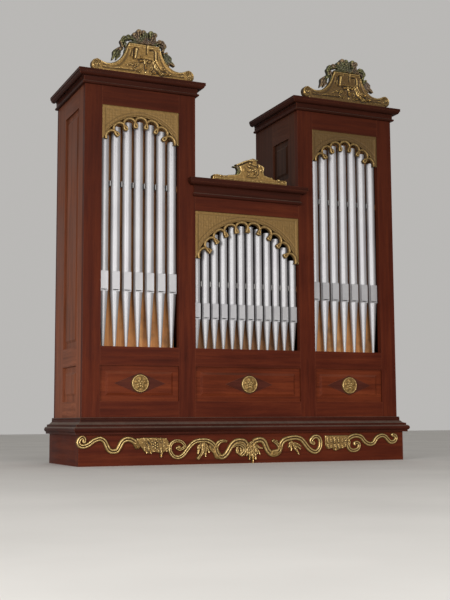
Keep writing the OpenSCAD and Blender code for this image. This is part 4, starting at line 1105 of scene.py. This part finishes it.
# %% Right side of the apron
RIGHT_RIBBONS = [
    ([(4, 93), (2, 105), (13, 121), (39, 131), (63, 129), (79, 114), (91, 88), (103, 67), (121, 52),
      (142, 48), (165, 58), (179, 80), (187, 108), (206, 128), (240, 138), (280, 142), (313, 134),
      (334, 116), (355, 90), (379, 68), (407, 58), (427, 66), (441, 86), (445, 110), (439, 134),
      (422, 146), (402, 144), (386, 130), (384, 116), (398, 108)], (33, 23), 12),
    ([(134, 54), (168, 66), (176, 84), (158, 108), (132, 124)], (36, 12), 13),
    ([(639, 112), (635, 86), (650, 66), (677, 62), (701, 72), (709, 95), (697, 108), (680, 104)],
     (24, 20), 10),
    ([(628, 126), (646, 138), (673, 148), (702, 148), (727, 138), (747, 116), (768, 102), (791, 98),
      (811, 106), (827, 128), (846, 142), (871, 149), (895, 141), (912, 124), (931, 109), (955, 112),
      (969, 128), (963, 146), (947, 151)], (27, 22), 12),
]
RIGHT_LEAVES = [
    ([(253, 122), (273, 92), (299, 44)], 26, 13, 2, 0.2),
    ([(249, 118), (239, 100), (231, 88)], 22, 11, 1, 0.3),
    ([(255, 110), (249, 86), (249, 68)], 22, 11, 1, 0.3),
    ([(267, 112), (291, 104), (313, 92)], 22, 10, 1, 0.3),
    ([(273, 100), (295, 88), (311, 74)], 22, 9, 1, 0.3),
    ([(25, 116), (13, 92), (21, 68)], 24, 14, 1, 0.5), ([(27, 104), (43, 88), (63, 84)], 22, 9, 1, 0.3),
    ([(27, 84), (39, 66), (47, 50)], 22, 10, 1, 0.3),
    ([(167, 118), (151, 124), (133, 134)], 18, 9, 1, 0.2), ([(493, 144), (491, 112)], 21, 17, 1, 0.6),
    ([(517, 144), (515, 116)], 21, 12, 1, 0.6), ([(541, 144), (536, 110)], 21, 16, 1, 0.6),
    ([(565, 144), (566, 116)], 21, 15, 1, 0.6), ([(589, 144), (592, 116)], 21, 12, 1, 0.6),
    ([(615, 144), (615, 120)], 21, 13, 1, 0.6), ([(495, 106), (493, 78)], 21, 18, 1, 0.6),
    ([(517, 106), (515, 82)], 21, 11, 1, 0.6), ([(542, 104), (544, 68)], 23, 17, 1, 0.6),
    ([(567, 106), (568, 78)], 21, 16, 1, 0.6), ([(590, 106), (594, 80)], 21, 11, 1, 0.6),
    ([(616, 112), (612, 86)], 21, 14, 1, 0.5), ([(633, 146), (635, 122), (631, 100)], 17, 16, 1, 0.5),
]
RIGHT_GROUND = [
    [(477, 152), (639, 152), (643, 122), (632, 96), (612, 80), (587, 74), (572, 68), (552, 62), (535, 64),
     (527, 76), (507, 72), (487, 76), (478, 96)],
]
apron("apron_right", 2, 1010, RIGHT_RIBBONS, RIGHT_LEAVES, RIGHT_GROUND, [(617, 128, 16, 5)],
      [(398, 112, 12), (955, 146, 9), (679, 98, 10)])

# %% Pendant in the middle of the apron
PENDANT_LEAVES = [
    ([(-4, 108), (-24, 78), (-38, 44)], 32, 12, 2, 0.3),
    ([(-2, 104), (-16, 60), (-20, 22)], 30, 14, 2, 0.3), ([(0, 104), (2, 50), (0, 3)], 32, 16, 2, 0.3),
    ([(2, 104), (14, 62), (20, 24)], 30, 13, 2, 0.3), ([(2, 108), (20, 80), (30, 50)], 24, 11, 2, 0.2),
    ([(-16, 112), (0, 118), (14, 112)], 22, 14, 1, 0.5),
]
apron("apron_pendant", -46, 40, [], PENDANT_LEAVES)

# %% [markdown]
# ## Rosettes
# A turned boss with a bead round its rim and a double five-petalled flower sits on each lower panel.
# All three lie on one sheet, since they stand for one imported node.

# %% Rosettes
def rosettes(node):
    low, high = box_mm(node)
    radius, z = (high[2] - low[2]) / 2, (high[2] + low[2]) / 2
    sheet = Sheet(low[0], high[0], -radius - 2, radius + 2, 1.5)
    for x in (-TOWER_X, 0, TOWER_X):
        far = np.hypot(sheet.x - x, sheet.z)
        slab(sheet, far - radius, 5, 5)
        slab(sheet, np.abs(far - radius + 6) - 5, 8, 5)
        flower(sheet, x, 0, radius * 0.84, 10, 5)
        # The inner petals stand between the outer ones
        flower(sheet, x, 0, radius * 0.5, 12, 5, 54.0)
    carve(node + "_carving", node, sheet, (0, z), high[1], 3, gold, 6.0)


rosettes("rosettes")
